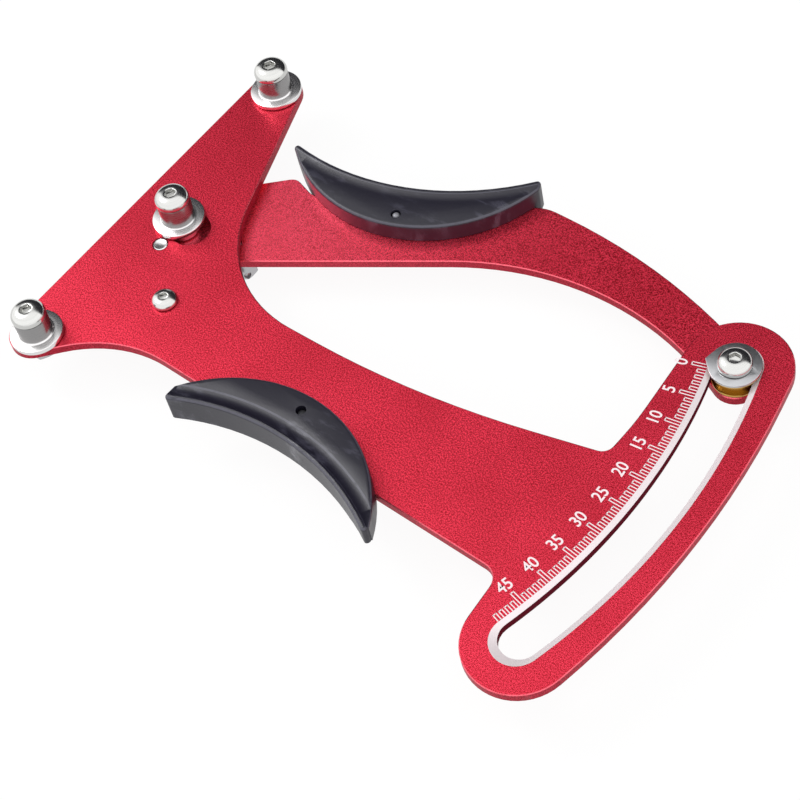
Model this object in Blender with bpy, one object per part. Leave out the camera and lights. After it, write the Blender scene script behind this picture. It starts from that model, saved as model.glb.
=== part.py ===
"""Spoke tension meter: a plier-shaped gauge that bends a wheel spoke between three posts.

The frame plate carries the two outer posts, the scale and the curved slot. The arm plate lies
under it, turns on the pivot pin and carries the centre post and the pointer. Squeezing the grips
turns the arm, and a compression spring on a calibration screw turns it back.

Metres, +Z up. The origin is on the top face of the frame plate, halfway between the outer posts.
X runs from the posts towards the scale, and Y runs along the line of the outer posts.
"""
import math

import bmesh
import bpy

for existing in list(bpy.data.objects):
    bpy.data.objects.remove(existing, do_unlink=True)

# General fits
seat_gap = 0.00025
running_gap = 0.0003
cut_overrun = 0.0010
arc_tolerance = 0.00003
weld_distance = 0.000001
mm = 0.001

# Frame plate and arm plate
plate_thickness = 0.0030
plate_gap = 0.0012
edge_break = 0.00025
post_spacing = 0.1084
post_edge = 0.00905
upper_end_radius = 0.0083
lower_end_radius = 0.0074
limb_clearance = 0.0006
limb_overlap = 0.0020
crest_stand = 0.00005
crest_clearance = 0.0004
pivot_x = 0.00873
pivot_y = -0.01031

# Slot, lobes and scale side, measured from the pivot
slot_radius = 0.17276
slot_half_width = 0.00565
slot_land = 0.00158
slot_land_depth = 0.00045
slot_top_angle = 15.97
slot_bottom_angle = -16.57
land_end_angle = 0.29
lobe_radius = 0.0149
lobe_shift = 0.0005
rim_share = 1.42626
rim_reach = 0.01349
notch_radius = 0.0050
notch_rise = 0.0085
arm_rest_angle = 15.89
arm_travel = 32.0

# Posts
flange_radius = 0.00783
flange_thickness = 0.0015
flange_chamfer = 0.0003
sleeve_radius = 0.0050
sleeve_height = 0.0085
sleeve_rim = 0.00035
centre_post_reach = 0.00995
centre_post_angle = 95.4
centre_hole_margin = 0.0010
centre_flange_lift = 0.0004
centre_post_rise = 0.0004

# Post screws and nuts
post_screw_radius = 0.0025
post_head_radius = 0.0051
post_head_height = 0.0030
post_socket_flats = 0.0032
post_socket_depth = 0.0018
post_nut_flats = 0.0080
post_nut_thickness = 0.0030

# Pivot
pivot_pin_share = 0.47778
pivot_hub_radius = 0.0072
pivot_washer_margin = 0.00045
pivot_foot_step = 0.0006
pivot_foot_height = 0.0014
pivot_clip_margin = 0.00073
pivot_clip_thickness = 0.0006

# Arm
arm_end_radius = 0.0066
arm_post_margin = 0.0030

# Pointer stack
bush_flange_radius = 0.0065
bush_stand = 0.0003
pointer_washer_radius = 0.0070
pointer_washer_thickness = 0.0004
pointer_radius = 0.0072
pointer_length = 0.0081
pointer_thickness = 0.0008
pointer_tip_radius = 0.0003
pointer_screw_radius = 0.0025
pointer_head_radius = 0.00475
pointer_head_height = 0.0028
pointer_socket_flats = 0.0030
pointer_socket_depth = 0.0016
pointer_nut_flats = 0.0080
pointer_nut_thickness = 0.0027

# Grips
finger_radius = 0.0770
grip_back_margin = 0.0054
grip_width = 0.0148
grip_height = 0.0064
grip_lip = 0.0035
grip_tip_slope = 0.0110
grip_edge_round = 0.0009
grip_end_radius = 0.0010
grip_back_shift = 0.0005
grip_hole_radius = 0.0015
grip_pin_radius = 0.0012
grip_pin_recess = 0.0012

# Spring, studs and calibration screw
stud_flats = 0.0070
stud_depth = 0.0168
stud_spigot_radius = 0.0015
stud_chamfer = 0.0004
stud_side_hole_radius = 0.0011
stud_side_hole_depth = 0.0152
stud_side_hole_reach = 0.0012
anchor_x = 0.0245
anchor_y = -0.0258
anchor_screw_radius = 0.0020
anchor_screw_reach = 0.0060
anchor_head_radius = 0.0038
anchor_head_height = 0.0022
anchor_socket_flats = 0.0025
anchor_socket_depth = 0.0013
arm_stud_x = 0.0252
arm_stud_y = 0.0037
rod_depth = 0.0135
rod_radius = 0.0015
rod_head_radius = 0.00275
rod_head_length = 0.0030
rod_socket_flats = 0.0025
rod_socket_depth = 0.0013
rod_stand = 0.0006
rod_nut_flats = 0.0055
rod_nut_thickness = 0.0024
spring_washer_radius = 0.0030
spring_washer_thickness = 0.0005
spring_coil_radius = 0.0025
spring_wire = 0.0009
spring_turns = 7
points_per_turn = 10

# Fillet circles of the two plate outlines: centre x, centre y and radius as shares of the slot
# radius, measured from the pivot. A negative radius is a hollow fillet.
window_side_shares = (0.3680, 0.1118, -0.5182)
window_corner_shares = (0.8638, 0.0601, -0.0203)
window_floor_shares = (0.3819, 1.7707, -1.7944)
window_heel_shares = (0.3095, 0.2229, -0.2460)
arm_heel_shares = (0.1231, 0.0116, -0.0347)
arm_belly_shares = (0.6938, -0.2043, -0.5094)
arm_back_shares = (0.5329, -0.6320, 1.0419)
arm_crest_share = 0.0695
arm_horn_shares = (0.0971, 0.2252, 0.0203)
arm_shoulder_shares = (0.0172, 0.1176, 0.0492)

# How far each grip reaches to its blunt end and its tip, and its hole along and across it
frame_grip_ends = (0.0368, 0.0376)
frame_grip_hole = (-0.0018, 0.0096)
arm_grip_ends = (0.0380, 0.0386)
arm_grip_hole = (-0.0002, 0.0107)

# Middle of each grip's finger face as shares of the slot radius, and the turn of its length
frame_grip_shares = (0.4600, -0.2138)
frame_grip_turn = -3.2
arm_grip_shares = (0.2974, 0.3068)
arm_grip_turn = 199.1

# Where the plate edges meet their grips, as shares of the grip's blunt end, lip and tip end
limb_share = 0.74068
seat_start_share = 1.03
seat_finish_share = 0.77
toe_share = 0.723
toe_round_share = 1.43

# Shares of a screw head or a nut
head_flat_share = 0.42
head_rim_share = 0.16
nut_chamfer_share = 0.12

# Counts
round_segments = 32
small_segments = 24
cap_steps = 12
side_steps = 24
dome_steps = 5
nut_segments = 24
hex_sides = 6
sharp_angle = 30
side_hole_turn = 120

# Finishes: name, base colour, metallic, roughness
anodised_red = ("anodised_red", (0.62, 0.02, 0.05, 1.0), 0.85, 0.38)
black_grip = ("black_grip", (0.02, 0.02, 0.025, 1.0), 0.0, 0.55)
turned_aluminium = ("turned_aluminium", (0.82, 0.82, 0.83, 1.0), 1.0, 0.22)
bright_steel = ("bright_steel", (0.62, 0.61, 0.60, 1.0), 1.0, 0.18)
zinc_steel = ("zinc_steel", (0.66, 0.67, 0.68, 1.0), 1.0, 0.30)
turned_brass = ("turned_brass", (0.72, 0.50, 0.16, 1.0), 1.0, 0.25)
black_steel = ("black_steel", (0.03, 0.03, 0.035, 1.0), 0.8, 0.40)
spring_steel = ("spring_steel", (0.45, 0.45, 0.46, 1.0), 1.0, 0.28)

# Radii and heights worked out from the sizes above
rim_radius = rim_share * slot_radius
grip_back_radius = max(frame_grip_ends + arm_grip_ends) + grip_back_margin
pivot_washer_radius = centre_post_reach - sleeve_radius - pivot_washer_margin
pivot_pin_radius = pivot_pin_share * pivot_washer_radius
post_nut_corner = post_nut_flats / 2 / math.cos(math.pi / hex_sides)
pivot_clip_radius = centre_post_reach - post_nut_corner - pivot_clip_margin
pivot_foot_radius = pivot_clip_radius - pivot_foot_step
frame_back = -plate_thickness
arm_face = frame_back - plate_gap
arm_back = arm_face - plate_thickness
between_top = frame_back - seat_gap
between_bottom = arm_face + seat_gap


def point_at(radius, degrees):
    """A point on a circle about the origin."""
    return (radius * math.cos(math.radians(degrees)), radius * math.sin(math.radians(degrees)))


def scaled_circle(shares):
    """A fillet circle from its shares of the slot radius."""
    return tuple(share * slot_radius for share in shares)


def grip_point(shares, turn, along, across):
    """A point given along and across a grip, measured from the pivot."""
    cosine, sine = point_at(1, turn)
    return (shares[0] * slot_radius + along * cosine - across * sine,
            shares[1] * slot_radius + along * sine + across * cosine)


def beside(first, second, first_reach, second_reach):
    """The point at given distances from two points, on the right of the way between them."""
    span = math.dist(first, second)
    along = (span ** 2 + first_reach ** 2 - second_reach ** 2) / (2 * span)
    aside = math.sqrt(first_reach ** 2 - along ** 2)
    step_x, step_y = (second[0] - first[0]) / span, (second[1] - first[1]) / span
    return (first[0] + along * step_x + aside * step_y, first[1] + along * step_y - aside * step_x)


def belt_outline(circles, grow=0):
    """The closed outline that runs like a belt round circles given as x, y and signed radius.

    The outline turns left round a positive radius and right round a negative one, and its
    straight stretches touch both neighbours. Growing it moves it outwards all round.
    """
    headings = []
    for index, (x, y, radius) in enumerate(circles):
        next_x, next_y, next_radius = circles[(index + 1) % len(circles)]
        span = math.hypot(next_x - x, next_y - y)
        lean = max(-1, min(1, (radius - next_radius) / span))
        headings.append(math.atan2(next_y - y, next_x - x) + math.asin(lean))
    points = []
    for index, (x, y, radius) in enumerate(circles):
        start = headings[index - 1]
        turn = (headings[index] - start + math.pi) % math.tau - math.pi
        if radius > 0 and turn < -math.radians(1):
            turn += math.tau
        sag = min(1, arc_tolerance / abs(radius))
        steps = max(1, math.ceil(abs(turn) / (2 * math.acos(1 - sag))))
        for step in range(steps + 1):
            heading = start + turn * step / steps
            points.append((x + (radius + grow) * math.sin(heading),
                           y - (radius + grow) * math.cos(heading)))
    return points


def slot_outline(radius, half_width, low_angle, high_angle):
    """A curved slot with round ends, about the origin, with the same point count at any size."""
    points = []
    sweep = high_angle - low_angle
    for step in range(side_steps):
        points.append(point_at(radius + half_width, low_angle + sweep * step / side_steps))
    for angle, side in ((high_angle, 1), (low_angle, -1)):
        x, y = point_at(radius, angle)
        for step in range(cap_steps):
            turn_x, turn_y = point_at(side * half_width, angle + 180 * step / cap_steps)
            points.append((x + turn_x, y + turn_y))
        if side > 0:
            for step in range(side_steps):
                points.append(point_at(radius - half_width, high_angle - sweep * step / side_steps))
    return points


def circle_outline(radius, segments):
    """A round outline about the origin."""
    return [point_at(radius, 360 * step / segments) for step in range(segments)]


def hexagon_outline(across_flats, segments):
    """A hexagon with flats on both sides along X and the same point count on every side."""
    points = []
    side_angle = 360 / hex_sides
    for step in range(segments):
        angle = 360 * step / segments
        from_flat = (angle + side_angle / 2) % side_angle - side_angle / 2
        points.append(point_at(across_flats / 2 / math.cos(math.radians(from_flat)), angle))
    return points


def material_for(finish):
    """The material of a finish, made on its first use."""
    name, colour, metallic, roughness = finish
    if name in bpy.data.materials:
        return bpy.data.materials[name]
    material = bpy.data.materials.new(name)
    material.use_nodes = True
    shader = material.node_tree.nodes["Principled BSDF"]
    shader.inputs["Base Color"].default_value = colour
    shader.inputs["Metallic"].default_value = metallic
    shader.inputs["Roughness"].default_value = roughness
    material.diffuse_color = colour
    return material


def object_from(builder, name, finish, parent, place=(0, 0, 0), turn=(0, 0, 0)):
    """A named object from a finished bmesh, at a place under its parent."""
    bmesh.ops.remove_doubles(builder, verts=builder.verts, dist=weld_distance)
    bmesh.ops.recalc_face_normals(builder, faces=builder.faces)
    mesh = bpy.data.meshes.new(name)
    builder.to_mesh(mesh)
    builder.free()
    made = bpy.data.objects.new(name, mesh)
    bpy.context.scene.collection.objects.link(made)
    made.parent = parent
    made.location = place
    made.rotation_euler = turn
    if finish:
        mesh.materials.append(material_for(finish))
        mesh.shade_smooth()
        mesh.set_sharp_from_angle(angle=math.radians(sharp_angle))
    return made


def lofted(rings):
    """A closed solid through rings of equal point counts, each an outline and its height."""
    builder = bmesh.new()
    loops = [[builder.verts.new((x, y, z)) for x, y in outline] for outline, z in rings]
    for lower, upper in zip(loops, loops[1:]):
        for index, vertex in enumerate(lower):
            after = (index + 1) % len(lower)
            builder.faces.new((vertex, lower[after], upper[after], upper[index]))
    builder.faces.new(reversed(loops[0]))
    builder.faces.new(loops[-1])
    return builder


def turned(profile, segments):
    """A solid of revolution about Z from a closed loop of radius and height pairs."""
    builder = bmesh.new()
    points = [builder.verts.new((radius, 0, z)) for radius, z in profile]
    edges = [builder.edges.new(pair) for pair in zip(points, points[1:] + points[:1])]
    bmesh.ops.spin(builder, geom=points + edges, cent=(0, 0, 0), axis=(0, 0, 1),
                   angle=math.tau, steps=segments, use_merge=True)
    return builder


def solid_turned(profile, segments):
    """A solid of revolution without a bore, from its outer side given from bottom to top."""
    rings = [(circle_outline(radius, segments), z) for radius, z in profile]
    return lofted(rings)


def cut_away(target, builder, name, parent, place=(0, 0, 0), turn=(0, 0, 0)):
    """Subtract a hidden tool from a target and keep the cut as a modifier."""
    tool = object_from(builder, name, None, parent, place, turn)
    tool.hide_render = True
    tool.display_type = 'WIRE'
    cut = target.modifiers.new(name, 'BOOLEAN')
    cut.operation = 'DIFFERENCE'
    cut.solver = 'EXACT'
    cut.object = tool


def drill(target, name, radius, low, high, parent, place=(0, 0, 0), turn=(0, 0, 0)):
    """Drill a round hole between two heights of the tool's own axis, past both ends."""
    outline = circle_outline(radius, small_segments)
    builder = lofted([(outline, low - cut_overrun), (outline, high + cut_overrun)])
    cut_away(target, builder, name, parent, place, turn)


def empty_at(name, place, parent=None, turn=0):
    """An empty on a joint's axis."""
    made = bpy.data.objects.new(name, None)
    bpy.context.scene.collection.objects.link(made)
    made.parent = parent
    made.location = place
    made.rotation_euler = (0, 0, turn)
    return made


def frame_circles():
    """Belt circles of the frame plate, from the lower post round to the upper one."""
    top_x, top_y = point_at(slot_radius, slot_top_angle + land_end_angle)
    low_x, low_y = point_at(slot_radius, slot_bottom_angle - land_end_angle)
    seat_start = grip_point(frame_grip_shares, frame_grip_turn,
                            -seat_start_share * frame_grip_ends[0], grip_lip - notch_radius)
    seat_finish = grip_point(frame_grip_shares, frame_grip_turn,
                             seat_finish_share * frame_grip_ends[1], grip_lip + notch_radius)
    end_y = post_spacing / 2
    lower_end = (lower_end_radius - post_edge - pivot_x, -end_y - pivot_y)
    limb_radius = limb_share * math.dist(lower_end, seat_start)
    limb = beside(lower_end, seat_start, limb_radius + lower_end_radius + limb_clearance,
                  limb_radius - limb_overlap)
    return [(*lower_end, lower_end_radius),
            (*limb, -limb_radius),
            (*seat_finish, notch_radius),
            (low_x - lobe_radius - notch_radius, low_y + notch_rise, -notch_radius),
            (low_x + lobe_shift, low_y, lobe_radius),
            (slot_radius + rim_reach - rim_radius, 0, rim_radius),
            (top_x + lobe_shift, top_y, lobe_radius),
            scaled_circle(window_side_shares),
            scaled_circle(window_corner_shares),
            scaled_circle(window_floor_shares),
            scaled_circle(window_heel_shares),
            (upper_end_radius - post_edge - pivot_x, end_y - pivot_y, upper_end_radius)]


def arm_circles():
    """Belt circles of the arm plate at rest, from the pivot hub round to the centre post."""
    end_x, end_y = point_at(slot_radius, arm_rest_angle)
    post_x, post_y = point_at(centre_post_reach, centre_post_angle)
    back_x, back_y, back_radius = scaled_circle(arm_back_shares)
    hollow = grip_point(arm_grip_shares, arm_grip_turn, 0, -finger_radius)
    hollow_radius = finger_radius + grip_lip
    crest_radius = arm_crest_share * slot_radius
    crest = beside((back_x, back_y), hollow, back_radius - crest_radius + crest_stand,
                   hollow_radius + crest_radius + crest_clearance)
    toe = toe_round_share * grip_lip
    return [(0, 0, pivot_hub_radius),
            scaled_circle(arm_heel_shares),
            scaled_circle(arm_belly_shares),
            (end_x, end_y, arm_end_radius),
            (back_x, back_y, back_radius),
            (*crest, crest_radius),
            (*hollow, -hollow_radius),
            (*grip_point(arm_grip_shares, arm_grip_turn, toe_share * arm_grip_ends[1],
                         grip_lip - toe), -toe),
            scaled_circle(arm_horn_shares),
            scaled_circle(arm_shoulder_shares),
            (post_x, post_y, sleeve_radius + arm_post_margin)]


def edge_plate(circles, name, finish, parent, low, high):
    """A plate with broken edges round a belt outline."""
    inner = belt_outline(circles, -edge_break)
    outer = belt_outline(circles)
    rings = [(inner, low), (outer, low + edge_break), (outer, high - edge_break), (inner, high)]
    return object_from(lofted(rings), name, finish, parent)


def frame_plate(parent):
    """The frame plate with its slot, its bare land and its holes."""
    plate = edge_plate(frame_circles(), "frame_plate", anodised_red, parent, frame_back, 0)
    opening = slot_outline(slot_radius, slot_half_width, slot_bottom_angle, slot_top_angle)
    overrun_share = cut_overrun / slot_land_depth
    spread = slot_land * (1 + overrun_share)
    ends = land_end_angle * (1 + overrun_share)
    land = slot_outline(slot_radius, slot_half_width + spread,
                        slot_bottom_angle - ends, slot_top_angle + ends)
    tool = lofted([(opening, frame_back - cut_overrun), (opening, -slot_land_depth),
                   (land, cut_overrun)])
    cut_away(plate, tool, "slot_cutter", parent)
    outline = slot_outline(centre_post_reach, sleeve_radius + centre_hole_margin,
                           centre_post_angle - arm_travel, centre_post_angle)
    tool = lofted([(outline, frame_back - cut_overrun), (outline, cut_overrun)])
    cut_away(plate, tool, "centre_hole_cutter", parent)
    for name, side in (("lower", -1), ("upper", 1)):
        drill(plate, name + "_post_hole", post_screw_radius + running_gap, frame_back, 0, parent,
              (-pivot_x, side * post_spacing / 2 - pivot_y, 0))
    drill(plate, "pivot_hole", pivot_pin_radius + running_gap, frame_back, 0, parent)
    drill(plate, "anchor_hole", anchor_screw_radius + running_gap, frame_back, 0, parent,
          (anchor_x - pivot_x, anchor_y - pivot_y, 0))
    pin = grip_point(frame_grip_shares, frame_grip_turn, *frame_grip_hole)
    drill(plate, "lower_pin_hole", grip_pin_radius + running_gap, frame_back, 0, parent, (*pin, 0))


def arm_plate(parent):
    """The arm plate with the holes for its pivot, post, pointer, stud and grip."""
    plate = edge_plate(arm_circles(), "arm_plate", anodised_red, parent, arm_back, arm_face)
    pin = grip_point(arm_grip_shares, arm_grip_turn, *arm_grip_hole)
    holes = (("arm_pivot_hole", pivot_pin_radius, (0, 0)),
             ("arm_post_hole", post_screw_radius, point_at(centre_post_reach, centre_post_angle)),
             ("arm_pointer_hole", pointer_screw_radius, point_at(slot_radius, arm_rest_angle)),
             ("arm_stud_hole", stud_spigot_radius, (arm_stud_x - pivot_x, arm_stud_y - pivot_y)),
             ("upper_pin_hole", grip_pin_radius, pin))
    for name, radius, place in holes:
        drill(plate, name, radius + running_gap, arm_back, arm_face, parent, (*place, 0))


def grip(name, spot, ends, hole, circles, plate_top, parent):
    """A crescent grip that lies on its plate and wraps the plate's edge on the finger side.

    The spot holds its place as shares of the slot radius and its turn, the ends how far it
    reaches to its blunt end and its tip, and the hole its place along and across the grip.
    """
    shares, turn = spot
    blunt_end, tip_end = ends
    end_x = grip_end_radius - blunt_end
    tip_x = tip_end - grip_end_radius
    finger_reach = finger_radius + grip_end_radius
    back_reach = grip_back_radius - grip_end_radius
    back_y = grip_width - grip_back_radius
    finger_corner = math.sqrt(finger_reach ** 2 - end_x ** 2) - finger_radius
    back_corner = back_y + math.sqrt(back_reach ** 2 - (end_x + grip_back_shift) ** 2)
    tip_y = math.sqrt(finger_reach ** 2 - tip_x ** 2) - finger_radius
    crescent = [(end_x, finger_corner, grip_end_radius),
                (0, -finger_radius, -finger_radius),
                (tip_x, tip_y, grip_end_radius),
                (-grip_back_shift, back_y, grip_back_radius),
                (end_x, back_corner, grip_end_radius)]
    top = plate_top + grip_height
    bottom = plate_top - plate_thickness
    outer = belt_outline(crescent)
    rings = [(outer, bottom)]
    for step in range(dome_steps):
        inset, rise = point_at(grip_edge_round, 90 * step / (dome_steps - 1))
        rings.append((belt_outline(crescent, inset - grip_edge_round),
                      top - grip_edge_round + rise))
    x, y = grip_point(shares, turn, 0, 0)
    handle = object_from(lofted(rings), name, black_grip, parent, (x, y, 0),
                         (0, 0, math.radians(turn)))
    seat = belt_outline(circles, running_gap)
    tool = lofted([(seat, bottom - cut_overrun), (seat, plate_top + seat_gap)])
    cut_away(handle, tool, name + "_seat", parent)
    floor = bottom - cut_overrun
    slope = grip_tip_slope * cut_overrun / plate_thickness
    start, finish, side = tip_end - grip_tip_slope, tip_end + cut_overrun, grip_width
    wedge = []
    for near, height in ((start - slope, floor), (tip_end, plate_top)):
        wedge.append(([(near, -side), (finish, -side), (finish, side), (near, side)], height))
    cut_away(handle, lofted(wedge), name + "_tip_cutter", handle)
    drill(handle, name + "_hole", grip_hole_radius, plate_top, top, handle,
          (*hole, 0))
    pin_top = top - grip_pin_recess
    profile = [(grip_pin_radius - edge_break, bottom + edge_break),
               (grip_pin_radius, bottom + 2 * edge_break),
               (grip_pin_radius, pin_top - edge_break), (grip_pin_radius - edge_break, pin_top)]
    object_from(solid_turned(profile, small_segments), name + "_pin", black_steel, handle,
                (*hole, 0))


def button_screw(name, finish, parent, place, seat, size, head, socket):
    """A button head screw with a hex socket, its head resting on a seat height.

    The size holds the shank radius and length, the head its radius and height, and the socket
    its width across flats and depth.
    """
    radius, length = size
    head_radius, head_height = head
    flats, depth = socket
    rim = head_height * head_rim_share
    flat = head_radius * head_flat_share
    profile = [(radius - edge_break, seat - length), (radius, seat - length + edge_break),
               (radius, seat), (head_radius, seat), (head_radius, seat + rim)]
    for step in range(1, dome_steps + 1):
        out, up = point_at(1, 90 * step / dome_steps)
        profile.append((flat + (head_radius - flat) * out, seat + rim + (head_height - rim) * up))
    screw = object_from(solid_turned(profile, round_segments), name, finish, parent, (*place, 0))
    outline = hexagon_outline(flats, hex_sides * 2)
    tool = lofted([(outline, seat + head_height - depth),
                   (outline, seat + head_height + cut_overrun)])
    cut_away(screw, tool, name + "_socket", screw)


def nut(name, finish, parent, place, low, flats, thickness, bore, turn=(0, 0, 0)):
    """A hexagon nut with chamfered corners, from its low face up along its own axis."""
    rim = thickness * nut_chamfer_share
    outline = hexagon_outline(flats, nut_segments)
    clipped = [point_at(min(math.hypot(x, y), flats / 2 + rim / 2),
                        math.degrees(math.atan2(y, x))) for x, y in outline]
    rings = [(clipped, low), (outline, low + rim), (outline, low + thickness - rim),
             (clipped, low + thickness)]
    made = object_from(lofted(rings), name, finish, parent, place, turn)
    drill(made, name + "_bore", bore + running_gap, low, low + thickness, made)


def washer(name, finish, parent, place, low, radius, thickness, bore, turn=(0, 0, 0)):
    """A flat washer, from its low face up along its own axis."""
    inner = bore + running_gap
    profile = [(inner, low), (radius, low), (radius, low + thickness), (inner, low + thickness)]
    object_from(turned(profile, round_segments), name, finish, parent, place, turn)


def post(name, parent, place, flange_low, spigot_low, top):
    """A turned post: a bored sleeve on a flange, with a spigot where one is wanted."""
    bore = post_screw_radius + running_gap
    flange_top = flange_low + flange_thickness
    profile = [(bore, spigot_low), (sleeve_radius, spigot_low)] if spigot_low < flange_low else [
        (bore, flange_low)]
    if spigot_low < flange_low:
        profile.append((sleeve_radius, flange_low))
    profile += [(flange_radius - flange_chamfer, flange_low),
                (flange_radius, flange_low + flange_chamfer),
                (flange_radius, flange_top - flange_chamfer),
                (flange_radius - flange_chamfer, flange_top),
                (sleeve_radius, flange_top), (sleeve_radius, top - sleeve_rim),
                (sleeve_radius - sleeve_rim, top), (bore, top)]
    object_from(turned(profile, round_segments), name, turned_aluminium, parent, (*place, 0))


def fastened_post(name, parent, place, flange_low, spigot_low, top, plate_low):
    """A post with its button head screw through it and the nut under its plate."""
    post(name, parent, place, flange_low, spigot_low, top)
    nut_low = plate_low - seat_gap - post_nut_thickness
    seat = top + seat_gap
    button_screw(name + "_screw", bright_steel, parent, place, seat,
                 (post_screw_radius, seat - nut_low), (post_head_radius, post_head_height),
                 (post_socket_flats, post_socket_depth))
    nut(name + "_nut", zinc_steel, parent, (*place, 0), nut_low, post_nut_flats,
        post_nut_thickness, post_screw_radius)


def pivot_stack(parent):
    """The pivot pin, flush with the frame's face, with its washers."""
    washer("pivot_washer", turned_brass, parent, (0, 0, 0), between_bottom, pivot_washer_radius,
           between_top - between_bottom, pivot_pin_radius)
    clip_low = arm_back - seat_gap - pivot_clip_thickness
    washer("pivot_back_washer", zinc_steel, parent, (0, 0, 0), clip_low, pivot_clip_radius,
           pivot_clip_thickness, pivot_pin_radius)
    foot_top = clip_low - seat_gap
    foot_low = foot_top - pivot_foot_height
    profile = [(pivot_foot_radius - edge_break, foot_low), (pivot_foot_radius, foot_low + edge_break),
               (pivot_foot_radius, foot_top - edge_break), (pivot_foot_radius - edge_break, foot_top),
               (pivot_pin_radius, foot_top), (pivot_pin_radius, -edge_break),
               (pivot_pin_radius - edge_break, 0)]
    object_from(solid_turned(profile, round_segments), "pivot_pin", bright_steel, parent)


def pointer_stack(parent):
    """The flanged bush that runs in the slot, the pointer on it and their screw."""
    axis = point_at(slot_radius, arm_rest_angle)
    bore = pointer_screw_radius + running_gap
    body = slot_half_width - running_gap
    profile = [(bore, between_bottom), (bush_flange_radius, between_bottom),
               (bush_flange_radius, between_top), (body, between_top),
               (body, bush_stand), (bore, bush_stand)]
    object_from(turned(profile, round_segments), "slot_bush", turned_brass, parent, (*axis, 0))
    washer_low = bush_stand + seat_gap
    washer("pointer_washer", turned_brass, parent, (*axis, 0), washer_low, pointer_washer_radius,
           pointer_washer_thickness, pointer_screw_radius)
    low = washer_low + pointer_washer_thickness + seat_gap
    circles = [(0, 0, pointer_radius),
               (pointer_tip_radius - pointer_length, 0, pointer_tip_radius)]
    outline = belt_outline(circles)
    plate = object_from(lofted([(outline, low), (outline, low + pointer_thickness)]), "pointer",
                        zinc_steel, parent, (*axis, 0), (0, 0, math.radians(arm_rest_angle)))
    drill(plate, "pointer_bore", bore, low, low + pointer_thickness, plate)
    seat = low + pointer_thickness + seat_gap
    nut_low = arm_back - seat_gap - pointer_nut_thickness
    button_screw("pointer_screw", bright_steel, parent, axis, seat,
                 (pointer_screw_radius, seat - nut_low), (pointer_head_radius, pointer_head_height),
                 (pointer_socket_flats, pointer_socket_depth))
    nut("pointer_nut", zinc_steel, parent, (*axis, 0), nut_low, pointer_nut_flats,
        pointer_nut_thickness, pointer_screw_radius)


def stud(name, parent, top, spigot_top=None):
    """A hexagonal stud with its cross hole for the calibration screw, and a spigot if wanted."""
    outline = hexagon_outline(stud_flats, nut_segments)
    clipped = [(x * (1 - 2 * stud_chamfer / stud_flats), y * (1 - 2 * stud_chamfer / stud_flats))
               for x, y in outline]
    rings = [(clipped, -stud_depth), (outline, stud_chamfer - stud_depth), (outline, top)]
    if spigot_top is not None:
        spigot = circle_outline(stud_spigot_radius, nut_segments)
        rings += [(spigot, top), (spigot, spigot_top)]
    made = object_from(lofted(rings), name, zinc_steel, parent)
    drill(made, name + "_cross_hole", rod_radius + running_gap, -stud_flats / 2, stud_flats / 2,
          parent, (0, 0, -rod_depth), (0, math.radians(90), 0))
    return made


def spring_points(start, finish):
    """Points of a coil about Z whose ends run straight for one wire diameter."""
    low = start + spring_wire / 2
    rise = finish - start - spring_wire
    count = spring_turns * points_per_turn
    coil = []
    for step in range(count + 1):
        x, y = point_at(spring_coil_radius, 360 * step / points_per_turn)
        coil.append((x, y, low + rise * step / count))
    head = (coil[0][0], coil[0][1] - spring_wire, low)
    tail = (coil[-1][0], coil[-1][1] + spring_wire, low + rise)
    return [head, *coil, tail]


def least_self_gap(points):
    """The smallest gap between stretches of the coil that lie half a turn or more apart."""
    apart = points_per_turn // 2
    return min(math.dist(first, second) for index, first in enumerate(points)
               for second in points[index + apart:]) - spring_wire


def spring(name, parent, place, start, finish, turn):
    """The compression spring as one unbroken tube."""
    points = spring_points(start, finish)
    curve = bpy.data.curves.new(name, 'CURVE')
    curve.dimensions = '3D'
    curve.bevel_depth = spring_wire / 2
    curve.bevel_resolution = 1
    curve.use_fill_caps = True
    spline = curve.splines.new('POLY')
    spline.points.add(len(points) - 1)
    for vertex, (x, y, z) in zip(spline.points, points):
        vertex.co = (x, y, z, 1)
    curve.materials.append(material_for(spring_steel))
    made = bpy.data.objects.new(name, curve)
    bpy.context.scene.collection.objects.link(made)
    made.parent = parent
    made.location = place
    made.rotation_euler = turn
    print("least gap of the spring to itself, mm:", round(least_self_gap(points) / mm, 3))


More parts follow.
